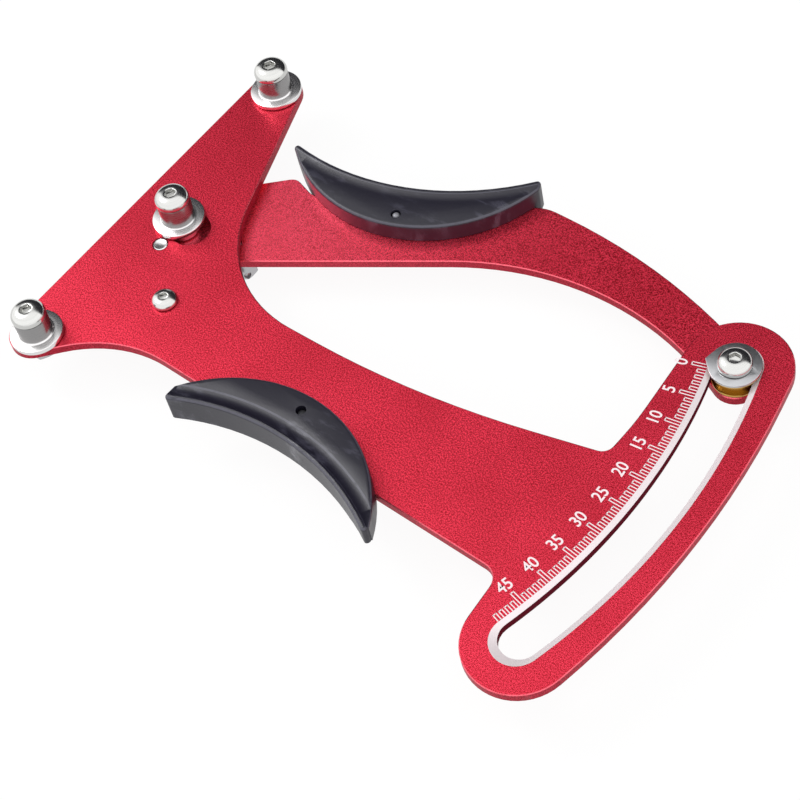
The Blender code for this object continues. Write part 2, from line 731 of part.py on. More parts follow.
def return_linkage(frame, arm):
    """The two studs, the calibration screw between them and the spring that parts them."""
    span_x = arm_stud_x - anchor_x
    span_y = arm_stud_y - anchor_y
    span = math.hypot(span_x, span_y)
    heading = math.atan2(span_y, span_x)
    anchor = empty_at("anchor_axis", (anchor_x - pivot_x, anchor_y - pivot_y, 0), frame, heading)
    swivel = empty_at("arm_stud_axis", (arm_stud_x - pivot_x, arm_stud_y - pivot_y, 0), arm, heading)
    anchor_stud = stud("anchor_stud", anchor, between_top)
    drill(anchor_stud, "anchor_bore", anchor_screw_radius + running_gap,
          seat_gap - anchor_screw_reach + frame_back, between_top, anchor)
    button_screw("anchor_screw", bright_steel, anchor, (0, 0), seat_gap,
                 (anchor_screw_radius, seat_gap - frame_back + anchor_screw_reach),
                 (anchor_head_radius, anchor_head_height),
                 (anchor_socket_flats, anchor_socket_depth))
    arm_stud = stud("arm_stud", swivel, arm_back - seat_gap, arm_face)
    drill(arm_stud, "stud_side_hole", stud_side_hole_radius,
          stud_flats / 2 - stud_side_hole_reach + cut_overrun, stud_flats / 2, swivel,
          (0, 0, -stud_side_hole_depth), (0, math.radians(90), math.radians(-side_hole_turn)))

    on_line = (0, 0, -rod_depth)
    along = (0, math.radians(90), 0)
    face = stud_flats / 2 + seat_gap
    nut("lock_nut", zinc_steel, anchor, on_line, -face - rod_nut_thickness, rod_nut_flats,
        rod_nut_thickness, rod_radius, along)
    head_top = -face - rod_nut_thickness - seat_gap
    tip = span + stud_flats / 2 + rod_stand
    profile = [(rod_head_radius - edge_break, head_top - rod_head_length),
               (rod_head_radius, head_top - rod_head_length + edge_break),
               (rod_head_radius, head_top), (rod_radius, head_top),
               (rod_radius, tip - edge_break), (rod_radius - edge_break, tip)]
    rod = object_from(solid_turned(profile, small_segments), "calibration_screw", black_steel,
                      anchor, on_line, along)
    socket = hexagon_outline(rod_socket_flats, hex_sides * 2)
    head_low = head_top - rod_head_length
    cut_away(rod, lofted([(socket, head_low - cut_overrun), (socket, head_low + rod_socket_depth)]),
             "calibration_socket", rod)
    nut("adjusting_nut", turned_brass, anchor, on_line, face, rod_nut_flats, rod_nut_thickness,
        rod_radius, along)
    washer_low = span - face - spring_washer_thickness
    washer("spring_washer", zinc_steel, swivel, (-span, 0, -rod_depth), washer_low,
           spring_washer_radius, spring_washer_thickness, rod_radius, along)
    spring("return_spring", anchor, on_line, face + rod_nut_thickness + seat_gap,
           washer_low - seat_gap, along)


def build():
    """Build the whole meter at rest, its pointer at the low end of the scale."""
    frame = empty_at("frame_axis", (pivot_x, pivot_y, 0))
    arm = empty_at("arm_axis", (pivot_x, pivot_y, 0))
    frame_plate(frame)
    arm_plate(arm)
    for name, side in (("lower_post", -1), ("upper_post", 1)):
        fastened_post(name, frame, (-pivot_x, side * post_spacing / 2 - pivot_y), seat_gap,
                      seat_gap, sleeve_height, frame_back)
    fastened_post("centre_post", arm, point_at(centre_post_reach, centre_post_angle),
                  centre_flange_lift, arm_face + seat_gap, sleeve_height + centre_post_rise, arm_back)
    pivot_stack(frame)
    pointer_stack(arm)
    grip("lower_grip", (frame_grip_shares, frame_grip_turn), frame_grip_ends, frame_grip_hole,
         frame_circles(), 0, frame)
    grip("upper_grip", (arm_grip_shares, arm_grip_turn), arm_grip_ends, arm_grip_hole,
         arm_circles(), arm_face, arm)
    return_linkage(frame, arm)


build()
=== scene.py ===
"""Looks of the spoke tension meter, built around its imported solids.

The frame plate and the arm plate keep their packed outlines, merged and shaded smooth. Every
turned, milled, wound and moulded piece is modelled again in its own place with finer detail.
"""
import logging
import math
from collections.abc import Iterator
from contextlib import contextmanager
from dataclasses import dataclass, field
from enum import Enum

import bmesh
import bpy
from mathutils import Matrix, Vector


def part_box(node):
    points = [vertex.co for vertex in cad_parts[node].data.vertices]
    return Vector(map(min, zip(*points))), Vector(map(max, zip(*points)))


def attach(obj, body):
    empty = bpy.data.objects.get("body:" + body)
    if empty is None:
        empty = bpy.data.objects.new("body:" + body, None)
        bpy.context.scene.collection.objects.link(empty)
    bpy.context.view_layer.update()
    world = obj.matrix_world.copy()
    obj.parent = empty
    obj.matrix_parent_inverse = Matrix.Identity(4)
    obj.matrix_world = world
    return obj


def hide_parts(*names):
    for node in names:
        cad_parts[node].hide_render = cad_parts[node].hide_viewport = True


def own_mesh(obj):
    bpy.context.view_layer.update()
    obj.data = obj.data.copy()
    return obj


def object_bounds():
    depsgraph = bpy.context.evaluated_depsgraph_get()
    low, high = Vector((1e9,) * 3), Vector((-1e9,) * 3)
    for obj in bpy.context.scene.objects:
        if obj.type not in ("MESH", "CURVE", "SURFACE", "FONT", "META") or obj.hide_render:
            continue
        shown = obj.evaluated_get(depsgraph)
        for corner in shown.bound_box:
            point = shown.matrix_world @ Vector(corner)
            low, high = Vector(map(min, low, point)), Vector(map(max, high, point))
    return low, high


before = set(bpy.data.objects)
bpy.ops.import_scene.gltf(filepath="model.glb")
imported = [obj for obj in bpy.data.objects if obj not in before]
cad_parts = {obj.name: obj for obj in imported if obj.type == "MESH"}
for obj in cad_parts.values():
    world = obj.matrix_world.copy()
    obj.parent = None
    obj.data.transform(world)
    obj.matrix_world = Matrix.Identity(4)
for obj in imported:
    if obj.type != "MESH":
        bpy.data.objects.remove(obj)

log = logging.getLogger("tension_meter")

Point = tuple[float, float, float]
Spot = tuple[float, float]
Profile = list[tuple[float, float]]
Colour = tuple[float, float, float, float]
Value = bpy.types.NodeSocket | float
Tint = bpy.types.NodeSocket | Colour

CAD_BOX = [list(corner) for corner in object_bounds()]
PIVOT: Spot = (0.00873, -0.01031)
WHITE: Colour = (1.0, 1.0, 1.0, 1.0)
LEVEL = 0.9995
OVERRUN = 0.001
CORNER_INSET = 0.0001
CORNER_OVER = 0.00005
MERGE = 2e-6
FLAT_ANGLE = 0.4
TOOL_SEGMENTS = 40
LENS_SEGMENTS = 48


class Body(Enum):
    """The bodies that the pieces ride on."""

    FRAME = "frame"
    ARM = "arm"
    ANCHOR = "anchor"
    ARM_SWIVEL = "arm_swivel"


class Slot(Enum):
    """The record's material slots."""

    RED = "anodised_red"
    GRIP = "black_grip"
    ALUMINIUM = "turned_aluminium"
    BRIGHT = "bright_steel"
    ZINC = "zinc_steel"
    BRASS = "turned_brass"
    BLACK = "black_steel"
    SPRING = "spring_steel"


class Cut(Enum):
    """What a tool does to a piece."""

    AWAY = "DIFFERENCE"
    WITHIN = "INTERSECT"
    TOGETHER = "UNION"


# Selecting, editing and placing


def deselect_all() -> None:
    """Leave object mode with nothing selected."""
    if bpy.context.object and bpy.context.object.mode != "OBJECT":
        bpy.ops.object.mode_set(mode="OBJECT")
    bpy.ops.object.select_all(action="DESELECT")


def activate(*pieces: bpy.types.Object) -> None:
    """Select some pieces alone and make the first active.

    Args:
        pieces: The objects that the next operators work on.
    """
    deselect_all()
    for piece in pieces:
        piece.select_set(True)
    bpy.context.view_layer.objects.active = pieces[0]


@contextmanager
def editing(piece: bpy.types.Object) -> Iterator[None]:
    """Open a piece in edit mode with all of it selected, and leave edit mode at the end.

    Args:
        piece: The object to edit.

    Yields:
        Nothing, while the piece is open.
    """
    activate(piece)
    bpy.ops.object.mode_set(mode="EDIT")
    bpy.ops.mesh.select_all(action="SELECT")
    yield
    bpy.ops.object.mode_set(mode="OBJECT")


def named(piece: bpy.types.Object, name: str) -> bpy.types.Object:
    """Give an object and its data one name."""
    piece.name = piece.data.name = name
    return piece


def add_object(name: str, data: bpy.types.ID) -> bpy.types.Object:
    """Add an object with its data to the scene.

    Args:
        name: The object's name.
        data: Its mesh, lamp or camera.

    Returns:
        The object.
    """
    piece = bpy.data.objects.new(name, data)
    bpy.context.scene.collection.objects.link(piece)
    return piece


def join(pieces: list[bpy.types.Object], name: str) -> bpy.types.Object:
    """Join pieces into the first of them and name it.

    Args:
        pieces: The objects to join.
        name: The joined object's name.

    Returns:
        The joined object.
    """
    activate(*pieces)
    bpy.ops.object.join()
    return named(pieces[0], name)


def apply_modifier(piece: bpy.types.Object, kind: str, **settings: object) -> None:
    """Add a modifier to a piece, set it and apply it.

    Args:
        piece: The object to change.
        kind: The modifier's type name.
        settings: Its settings by name.
    """
    activate(piece)
    bpy.ops.object.modifier_add(type=kind)
    modifier = piece.modifiers[-1]
    for name, value in settings.items():
        setattr(modifier, name, value)
    bpy.ops.object.modifier_apply(modifier=modifier.name)


def bevel(piece: bpy.types.Object, width: float, angle: float = 50.0, segments: int = 2) -> None:
    """Round the edges of a piece that are sharper than an angle in degrees."""
    apply_modifier(piece, "BEVEL", width=width, segments=segments, limit_method="ANGLE",
                   angle_limit=math.radians(angle))


def cut(piece: bpy.types.Object, tool: bpy.types.Object, kind: Cut = Cut.AWAY) -> None:
    """Use a tool up on a piece."""
    apply_modifier(piece, "BOOLEAN", operation=kind.value, solver="EXACT", object=tool)
    bpy.data.objects.remove(tool, do_unlink=True)


def place(piece: bpy.types.Object, matrix: Matrix) -> None:
    """Move a piece's mesh by a matrix and leave its object at the origin.

    Args:
        piece: The object to move.
        matrix: Where its own axes go.
    """
    piece.matrix_world = matrix
    activate(piece)
    bpy.ops.object.transform_apply(location=True, rotation=True, scale=True)


def settle(piece: bpy.types.Object, angle: float = 35.0) -> None:
    """Put a finished piece's place into its mesh and shade it smooth by angle.

    Args:
        piece: The finished object.
        angle: Edges sharper than this many degrees stay sharp.
    """
    activate(piece)
    bpy.ops.object.transform_apply(location=True, rotation=True, scale=True)
    bpy.ops.object.shade_smooth_by_angle(angle=math.radians(angle))


def axis_of(node: str) -> Point:
    """The foot of a solid's upright axis, at height zero."""
    low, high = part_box(node)
    return (low.x + high.x) / 2, (low.y + high.y) / 2, 0.0


def stand(piece: bpy.types.Object, node: str, angle: float = 35.0) -> None:
    """Settle a piece that was modelled about Z on its solid's upright axis."""
    place(piece, Matrix.Translation(axis_of(node)))
    settle(piece, angle)


def merge_and_face_outwards(piece: bpy.types.Object, distance: float = 1e-6) -> None:
    """Merge doubled points and turn every face outwards.

    Args:
        piece: The object to clean.
        distance: Points closer than this become one.
    """
    with editing(piece):
        bpy.ops.mesh.remove_doubles(threshold=distance)
        bpy.ops.mesh.normals_make_consistent(inside=False)


def polar(centre: Spot, radius: float, angle: float) -> Spot:
    """The point at a radius and an angle in degrees about a centre."""
    return (centre[0] + radius * math.cos(math.radians(angle)),
            centre[1] + radius * math.sin(math.radians(angle)))


# Shapes that several pieces start from


def copy_solid(node: str, name: str) -> bpy.types.Object:
    """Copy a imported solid, merge its points and dissolve its flat triangles.

    Args:
        node: The solid's name.
        name: The new object's name.

    Returns:
        The copy.
    """
    piece = add_object(name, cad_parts[node].data.copy())
    merge_and_face_outwards(piece, MERGE)
    with editing(piece):
        bpy.ops.mesh.dissolve_limited(angle_limit=math.radians(FLAT_ANGLE))
    return piece


def lathe(name: str, profile: Profile, segments: int = 64,
          closed: bool = False) -> bpy.types.Object:
    """Turn a profile about Z, from a circle that is extruded and scaled ring by ring.

    Args:
        name: The new object's name.
        profile: Radius and height pairs, from the first ring to the last.
        segments: How many points a ring has.
        closed: Whether the last ring joins the first, as on a bored piece.

    Returns:
        The new object, about the origin.
    """
    deselect_all()
    radius, height = profile[0]
    bpy.ops.mesh.primitive_circle_add(vertices=segments, radius=radius, location=(0, 0, height),
                                      fill_type="NOTHING" if closed else "NGON")
    piece = named(bpy.context.object, name)
    bpy.ops.object.transform_apply(location=True, rotation=False, scale=False)
    rings = profile[1:] + (profile[:1] if closed else [])
    extrude = bpy.ops.mesh.extrude_edges_move if closed else bpy.ops.mesh.extrude_region_move
    with editing(piece):
        for next_radius, next_height in rings:
            extrude()
            share = next_radius / radius
            bpy.ops.transform.resize(value=(share, share, 1), center_override=(0, 0, height))
            bpy.ops.transform.translate(value=(0, 0, next_height - height))
            radius, height = next_radius, next_height
    merge_and_face_outwards(piece)
    return piece


def prism(name: str, flats: float, low: float, high: float) -> bpy.types.Object:
    """A hexagonal bar about Z.

    Args:
        name: The new object's name.
        flats: The width between opposite flats.
        low: Height of its lower face.
        high: Height of its upper face.

    Returns:
        The new object, its place in its mesh.
    """
    deselect_all()
    bpy.ops.mesh.primitive_cylinder_add(
        vertices=6, radius=corner_radius(flats), depth=high - low,
        location=(0, 0, (low + high) / 2), rotation=(0, 0, math.radians(30)))
    piece = named(bpy.context.object, name)
    bpy.ops.object.transform_apply(location=True, rotation=True, scale=True)
    return piece


def corner_radius(flats: float) -> float:
    """How far the corners of a hexagon stand from its middle."""
    return flats / 2 / math.cos(math.pi / 6)


def hexagon(name: str, flats: float, low: float, high: float, fall: float) -> bpy.types.Object:
    """A hexagonal bar whose corners fall away at both ends.

    Args:
        name: The new object's name.
        flats: The width between opposite flats.
        low: Height of its lower face.
        high: Height of its upper face.
        fall: How far the corners fall away at each end.

    Returns:
        The new object.
    """
    inner = flats / 2 - CORNER_INSET
    outer = corner_radius(flats) + CORNER_OVER
    piece = prism(name, flats, low, high)
    cut(piece, lathe("lens_tool", [(inner, low), (outer, low + fall), (outer, high - fall),
                                   (inner, high)], LENS_SEGMENTS), Cut.WITHIN)
    return piece


# Node groups


def feed(tree: bpy.types.NodeTree, value: Value | Tint, socket: bpy.types.NodeSocket) -> None:
    """Link a socket to another, or set a plain value on it.

    Args:
        tree: The tree that both are in.
        value: A socket, or a number or a colour.
        socket: The socket that is fed.
    """
    if isinstance(value, bpy.types.NodeSocket):
        tree.links.new(value, socket)
    else:
        socket.default_value = value


def new_group(name: str, inputs: dict[str, float | Point],
              outputs: list[str]) -> tuple[bpy.types.NodeTree, bpy.types.Node, bpy.types.Node]:
    """Start a shader node group with named sockets.

    Args:
        name: The group's name.
        inputs: The default of each input by its name.
        outputs: The names of its outputs, which are all numbers.

    Returns:
        The group, its input node and its output node.
    """
    group = bpy.data.node_groups.new(name, "ShaderNodeTree")
    for label, value in inputs.items():
        kind = "NodeSocketVector" if isinstance(value, tuple) else "NodeSocketFloat"
        socket = group.interface.new_socket(label, in_out="INPUT", socket_type=kind)
        socket.default_value = value
    for label in outputs:
        group.interface.new_socket(label, in_out="OUTPUT", socket_type="NodeSocketFloat")
    return group, group.nodes.new("NodeGroupInput"), group.nodes.new("NodeGroupOutput")


def math_node(tree: bpy.types.NodeTree, operation: str, first: Value, second: Value = 0.0,
              clamp: bool = False) -> bpy.types.NodeSocket:
    """Add a Math node and return its output.

    Args:
        tree: The tree that it goes into.
        operation: The Math node's operation.
        first: A socket or a number.
        second: A socket or a number, unused where the operation has one.
        clamp: Whether the result stays from 0 to 1.

    Returns:
        The node's output socket.
    """
    node = tree.nodes.new("ShaderNodeMath")
    node.operation = operation
    node.use_clamp = clamp
    feed(tree, first, node.inputs[0])
    feed(tree, second, node.inputs[1])
    return node.outputs[0]


def times(tree: bpy.types.NodeTree, first: Value, second: Value,
          clamp: bool = False) -> bpy.types.NodeSocket:
    """The product of two values, kept from 0 to 1 where it is clamped."""
    return math_node(tree, "MULTIPLY", first, second, clamp)


def noise_node(tree: bpy.types.NodeTree, vector: bpy.types.NodeSocket, scale: Value,
               detail: float = 2.0, roughness: float = 0.5) -> bpy.types.NodeSocket:
    """Add a Noise Texture and return its factor.

    Args:
        tree: The tree that it goes into.
        vector: The socket with the coordinates.
        scale: A socket or a number.
        detail: The noise's detail.
        roughness: The noise's roughness.

    Returns:
        The noise's Fac socket.
    """
    node = tree.nodes.new("ShaderNodeTexNoise")
    for name, value in (("Vector", vector), ("Scale", scale), ("Detail", detail),
                        ("Roughness", roughness)):
        feed(tree, value, node.inputs[name])
    return node.outputs["Fac"]


def ramp_node(tree: bpy.types.NodeTree, factor: bpy.types.NodeSocket,
              span: tuple[float, float]) -> bpy.types.NodeSocket:
    """Map a factor smoothly from a range to 0 to 1.

    Args:
        tree: The tree that it goes into.
        factor: The socket to map.
        span: The values that become 0 and 1.

    Returns:
        The mapped factor.
    """
    node = tree.nodes.new("ShaderNodeMapRange")
    node.interpolation_type = "SMOOTHSTEP"
    for name, value in (("Value", factor), ("From Min", span[0]), ("From Max", span[1])):
        feed(tree, value, node.inputs[name])
    return node.outputs["Result"]


def mix_colours(tree: bpy.types.NodeTree, factor: Value, first: Tint, second: Tint,
                blend: str = "MIX") -> bpy.types.NodeSocket:
    """Mix two colours by a factor.

    Args:
        tree: The tree that it goes into.
        factor: A socket or a number.
        first: A socket or a colour.
        second: A socket or a colour.
        blend: The Mix node's blend type.

    Returns:
        The mixed colour.
    """
    node = tree.nodes.new("ShaderNodeMix")
    node.data_type = "RGBA"
    node.blend_type = blend
    for index, value in ((0, factor), (6, first), (7, second)):
        feed(tree, value, node.inputs[index])
    return node.outputs[2]


def object_place(tree: bpy.types.NodeTree) -> bpy.types.NodeSocket:
    """The coordinates of the piece itself."""
    return tree.nodes.new("ShaderNodeTexCoord").outputs["Object"]


def split(tree: bpy.types.NodeTree, vector: bpy.types.NodeSocket) -> bpy.types.NodeOutputs:
    """Split a vector into its axes.

    Args:
        tree: The tree that it is in.
        vector: The vector's socket.

    Returns:
        The sockets X, Y and Z.
    """
    parts = tree.nodes.new("ShaderNodeSeparateXYZ")
    tree.links.new(vector, parts.inputs[0])
    return parts.outputs


@dataclass
class Effects:
    """The shader node groups that several finishes share, each made once."""

    coarse_share: float = 0.45
    fine_weight: float = 0.7
    speckle_span: tuple[float, float] = (0.45, 0.55)
    cloud_scale: float = 38.0
    soft_span: tuple[float, float] = (0.3, 0.7)
    detail: float = 3.0
    ring_roughness: float = 0.7
    wear_scale: float = 420.0
    wear_span: tuple[float, float] = (0.1, 0.5)
    smear_turn: float = 35.0
    smear_stretch: Point = (1.0, 3.2, 1.0)
    smear_detail: float = 5.0
    smear_roughness: float = 0.62
    smear_span: tuple[float, float] = (0.48, 0.66)
    patch_scale: float = 55.0
    patch_span: tuple[float, float] = (0.42, 0.60)
    blasted: bpy.types.NodeTree = field(init=False)
    turned: bpy.types.NodeTree = field(init=False)
    wear: bpy.types.NodeTree = field(init=False)
    smudges: bpy.types.NodeTree = field(init=False)

    def __post_init__(self) -> None:
        """Make every group."""
        self.blasted = self._blasted()
        self.turned = self._turned()
        self.wear = self._wear()
        self.smudges = self._smudges()

    def _blasted(self) -> bpy.types.NodeTree:
        """Bead blasting: fine speckle in colour and height, from two sizes of noise.

        Returns:
            The group.
        """
        group, source, sink = new_group("bead_blasted", {"Grain": 3000.0},
                                        ["Speckle", "Cloud", "Height"])
        where, grain = object_place(group), source.outputs["Grain"]
        fine = noise_node(group, where, grain, 1.0)
        coarse = noise_node(group, where, times(group, grain, self.coarse_share))
        both = math_node(group, "ADD", times(group, fine, self.fine_weight),
                         times(group, coarse, 1.0 - self.fine_weight))
        cloud = noise_node(group, where, self.cloud_scale, self.detail)
        group.links.new(ramp_node(group, both, self.speckle_span), sink.inputs["Speckle"])
        group.links.new(ramp_node(group, cloud, self.soft_span), sink.inputs["Cloud"])
        group.links.new(both, sink.inputs["Height"])
        return group

    def _turned(self) -> bpy.types.NodeTree:
        """Lathe marks: fine rings that follow the height or the radius about an axis.

        Returns:
            The group.
        """
        group, source, sink = new_group(
            "lathe_marks", {"Centre": (0.0, 0.0, 0.0), "Pitch": 9000.0}, ["Rings", "Height"])
        shift = group.nodes.new("ShaderNodeVectorMath")
        shift.operation = "SUBTRACT"
        group.links.new(object_place(group), shift.inputs[0])
        group.links.new(source.outputs["Centre"], shift.inputs[1])
        parts = split(group, shift.outputs[0])
        square = [math_node(group, "POWER", parts[axis], 2.0) for axis in "XY"]
        radius = math_node(group, "SQRT", math_node(group, "ADD", *square))
        along = math_node(group, "ADD", radius, parts["Z"])
        line = group.nodes.new("ShaderNodeCombineXYZ")
        group.links.new(times(group, along, source.outputs["Pitch"]), line.inputs["X"])
        rings = noise_node(group, line.outputs[0], 1.0, self.detail, self.ring_roughness)
        group.links.new(ramp_node(group, rings, self.soft_span), sink.inputs["Rings"])
        group.links.new(rings, sink.inputs["Height"])
        return group

    def _wear(self) -> bpy.types.NodeTree:
        """Brighter edges, partly worn and partly painted highlight, and painted shade on walls and
        turned-away edges, from the faces marked as rims, broken up by noise.

        Returns:
            The group.
        """
        group, source, sink = new_group("rim_wear_and_painted_light", {"Amount": 0.5}, ["Mask", "Shade"])
        rim = group.nodes.new("ShaderNodeAttribute")
        rim.attribute_name = "rim"
        marked = rim.outputs["Fac"]
        noise = noise_node(group, object_place(group), self.wear_scale, self.detail)
        mask = times(group, marked, ramp_node(group, noise, self.wear_span), clamp=True)
        # Painted shade: faces marked below zero darken by this share.
        group.links.new(times(group, marked, -1.0, clamp=True), sink.inputs["Shade"])
        group.links.new(times(group, mask, source.outputs["Amount"]), sink.inputs["Mask"])
        return group

    def _smudges(self) -> bpy.types.NodeTree:
        """Handling marks: soft pale smears with a few short scuffs.

        Returns:
            The group.
        """
        group, source, sink = new_group("handling_marks", {"Size": 160.0}, ["Mask"])
        where = object_place(group)
        turn = group.nodes.new("ShaderNodeMapping")
        turn.inputs["Rotation"].default_value = (0.0, 0.0, math.radians(self.smear_turn))
        turn.inputs["Scale"].default_value = self.smear_stretch
        group.links.new(where, turn.inputs["Vector"])
        smear = noise_node(group, turn.outputs[0], source.outputs["Size"],
                           self.smear_detail, self.smear_roughness)
        patch = noise_node(group, where, self.patch_scale)
        mask = times(group, ramp_node(group, smear, self.smear_span),
                     ramp_node(group, patch, self.patch_span))
        group.links.new(mask, sink.inputs["Mask"])
        return group


# Finishes


@dataclass(frozen=True)
class Finish:
    """One surface finish and how it becomes a material."""

    name: str
    colour: Colour
    metallic: float = 0.0
    roughness: float = 0.5
    rougher: float = 0.08
    relief: float = 0.2
    relief_depth: float = 0.00012

    def begin(self) -> tuple[bpy.types.Material, bpy.types.NodeTree, bpy.types.Node]:
        """Start a material with this finish's plain values.

        Returns:
            The material, its tree and its shader.
        """
        material = bpy.data.materials.new(self.name)
        material.use_nodes = True
        shader = material.node_tree.nodes["Principled BSDF"]
        shader.inputs["Base Color"].default_value = self.colour
        shader.inputs["Metallic"].default_value = self.metallic
        shader.inputs["Roughness"].default_value = self.roughness
        material.diffuse_color = self.colour
        return material, material.node_tree, shader

    @staticmethod
    def placed(tree: bpy.types.NodeTree, group: bpy.types.NodeTree,
               **values: float | Point) -> bpy.types.NodeOutputs:
        """Place a shared group in a material's tree.

        Args:
            tree: The material's tree.
            group: The shared group.
            values: Its input values by name.

        Returns:
            The group node's outputs.
        """
        node = tree.nodes.new("ShaderNodeGroup")
        node.node_tree = group
        for name, value in values.items():
            node.inputs[name].default_value = value
        return node.outputs

    def surface(self, tree: bpy.types.NodeTree, shader: bpy.types.Node,
                colour: bpy.types.NodeSocket, height: bpy.types.NodeSocket,
                mask: bpy.types.NodeSocket | None = None) -> None:
        """Feed the shader's colour, its bump and, by a mask, its roughness.

        Args:
            tree: The material's tree.
            shader: The Principled shader.
            colour: The finished colour.
            height: The height of the relief.
            mask: Where the surface is rougher, or None where it is even.
        """
        tree.links.new(colour, shader.inputs["Base Color"])
        if mask:
            rough = math_node(tree, "ADD", times(tree, mask, self.rougher), self.roughness)
            tree.links.new(rough, shader.inputs["Roughness"])
        bump = tree.nodes.new("ShaderNodeBump")
        bump.inputs["Strength"].default_value = self.relief
        bump.inputs["Distance"].default_value = self.relief_depth
        tree.links.new(height, bump.inputs["Height"])
        tree.links.new(bump.outputs[0], shader.inputs["Normal"])


@dataclass(frozen=True)
class AnodisedRed(Finish):
    """Bead-blasted aluminium, anodised red, with edges partly worn and partly painted highlight,
    painted shade, and an optional painted sheen along X.
    """

    rougher: float = 0.1
    grain: float = 4600.0
    wear: float = 0.55
    cloud: float = 0.25
    deep: Colour = (0.36, 0.002, 0.010, 1.0)
    light: Colour = (1.0, 0.050, 0.105, 1.0)
    # edge is the colour of brightened edges, partly worn and partly painted highlight; shade is
    # painted shade.
    edge: Colour = (0.80, 0.18, 0.23, 1.0)
    shade: Colour = (0.085, 0.008, 0.015, 1.0)
    # pale is a painted sheen, added along X across the span below.
    pale: Colour = (0.30, 0.045, 0.065, 1.0)
    fade: tuple[float, float] | None = None
    coat: float = 0.3
    coat_roughness: float = 0.3

    def material(self, effects: Effects) -> bpy.types.Material:
        """Make the material.

        Args:
            effects: The shared groups.

        Returns:
            The material.
        """
        material, tree, shader = self.begin()
        blasted = self.placed(tree, effects.blasted, Grain=self.grain)
        wear = self.placed(tree, effects.wear, Amount=self.wear)
        colour = mix_colours(tree, blasted["Speckle"], self.deep, self.light)
        colour = mix_colours(tree, times(tree, blasted["Cloud"], self.cloud), colour, self.deep)
        # Painted sheen: the pale colour is added along X, across the span.
        if self.fade:
            painted_sheen_share = ramp_node(tree, split(tree, object_place(tree))["X"], self.fade)
            colour = mix_colours(tree, painted_sheen_share, colour, self.pale, "ADD")
        # Edges brighten, partly worn and partly painted highlight; painted shade darkens the marked
        # faces and takes away their coat and metal.
        colour = mix_colours(tree, wear["Mask"], colour, self.edge)
        colour = mix_colours(tree, wear["Shade"], colour, self.shade)
        lit = math_node(tree, "SUBTRACT", 1.0, wear["Shade"])
        for socket, share in (("Coat Weight", self.coat), ("Metallic", self.metallic)):
            tree.links.new(times(tree, lit, share), shader.inputs[socket])
        shader.inputs["Coat Roughness"].default_value = self.coat_roughness
        shader.inputs["Specular IOR Level"].default_value = 0.0
        self.surface(tree, shader, colour, blasted["Height"], blasted["Speckle"])
        return material


@dataclass(frozen=True)
class MattBlack(Finish):
    """Moulded matt black plastic with a fine skin, handling marks and lighter edges, partly worn and
    partly painted highlight.
    """

    rougher: float = -0.14
    relief: float = 0.4
    grain: float = 4200.0
    smear_size: float = 150.0
    smear_share: float = 0.5
    wear: float = 0.6
    smear: Colour = (0.080, 0.078, 0.105, 1.0)

    def material(self, effects: Effects) -> bpy.types.Material:
        """Make the material.

        Args:
            effects: The shared groups.

        Returns:
            The material.
        """
        material, tree, shader = self.begin()
        blasted = self.placed(tree, effects.blasted, Grain=self.grain)
        smears = self.placed(tree, effects.smudges, Size=self.smear_size)["Mask"]
        wear = self.placed(tree, effects.wear, Amount=self.wear)["Mask"]
        # The rims' share lightens the edges, partly worn and partly painted highlight.
        mask = math_node(tree, "MAXIMUM", times(tree, smears, self.smear_share), wear)
        colour = mix_colours(tree, mask, self.colour, self.smear)
        self.surface(tree, shader, colour, blasted["Height"], smears)
        return material


@dataclass(frozen=True)
class TurnedMetal(Finish):
    """Bright metal with lathe marks about its own axis, and optional painted shade that darkens it
    over a height.
    """

    relief: float = 0.10
    relief_depth: float = 0.00003
    mark: Colour = (0.55, 0.55, 0.56, 1.0)
    mark_share: float = 0.35
    pitch: float = 9000.0
    # body is painted shade: a darker colour over the span's heights, on a post's sleeve over its
    # flange.
    body: Colour | None = None
    body_span: tuple[float, float] = (0.0019, 0.00247)

    def material(self, effects: Effects, centre: Point, suffix: str) -> bpy.types.Material:
        """Make the material about an axis.

        Args:
            effects: The shared groups.
            centre: A point on the piece's axis.
            suffix: What tells this copy from the others.

        Returns:
            The material.
        """
        material, tree, shader = self.begin()
        material.name = f"{self.name}_{suffix}"
        turned = self.placed(tree, effects.turned, Centre=centre, Pitch=self.pitch)
        colour = mix_colours(tree, times(tree, turned["Rings"], self.mark_share), self.colour,
                             self.mark)
        # Painted shade: the body colour darkens the piece over the span's heights.
        if self.body:
            above = ramp_node(tree, split(tree, object_place(tree))["Z"], self.body_span)
            colour = mix_colours(tree, above, colour, self.body)
        self.surface(tree, shader, colour, turned["Height"], turned["Rings"])
        return material


@dataclass(frozen=True)
class SatinMetal(Finish):
    """Satin metal with a faint grain and soft stains."""

    relief: float = 0.12
    relief_depth: float = 0.00004
    grain: float = 5200.0
    wear: float = 0.35
    worn_gain: float = 1.25
    stain: Colour = (0.40, 0.40, 0.41, 1.0)
    stain_share: float = 0.35

    def material(self, effects: Effects) -> bpy.types.Material:
        """Make the material.

        Args:
            effects: The shared groups.

        Returns:
            The material.
        """
        material, tree, shader = self.begin()
        blasted = self.placed(tree, effects.blasted, Grain=self.grain)
        wear = self.placed(tree, effects.wear, Amount=self.wear)
        stained = mix_colours(tree, times(tree, blasted["Cloud"], self.stain_share), self.colour,
                              self.stain)
        # Marked rims brighten by the gain, partly worn and partly painted highlight.
        bright = tuple(min(1.0, self.worn_gain * value) for value in self.colour[:3]) + (1.0,)
        colour = mix_colours(tree, wear["Mask"], stained, bright)
        self.surface(tree, shader, colour, blasted["Height"], blasted["Speckle"])
        return material


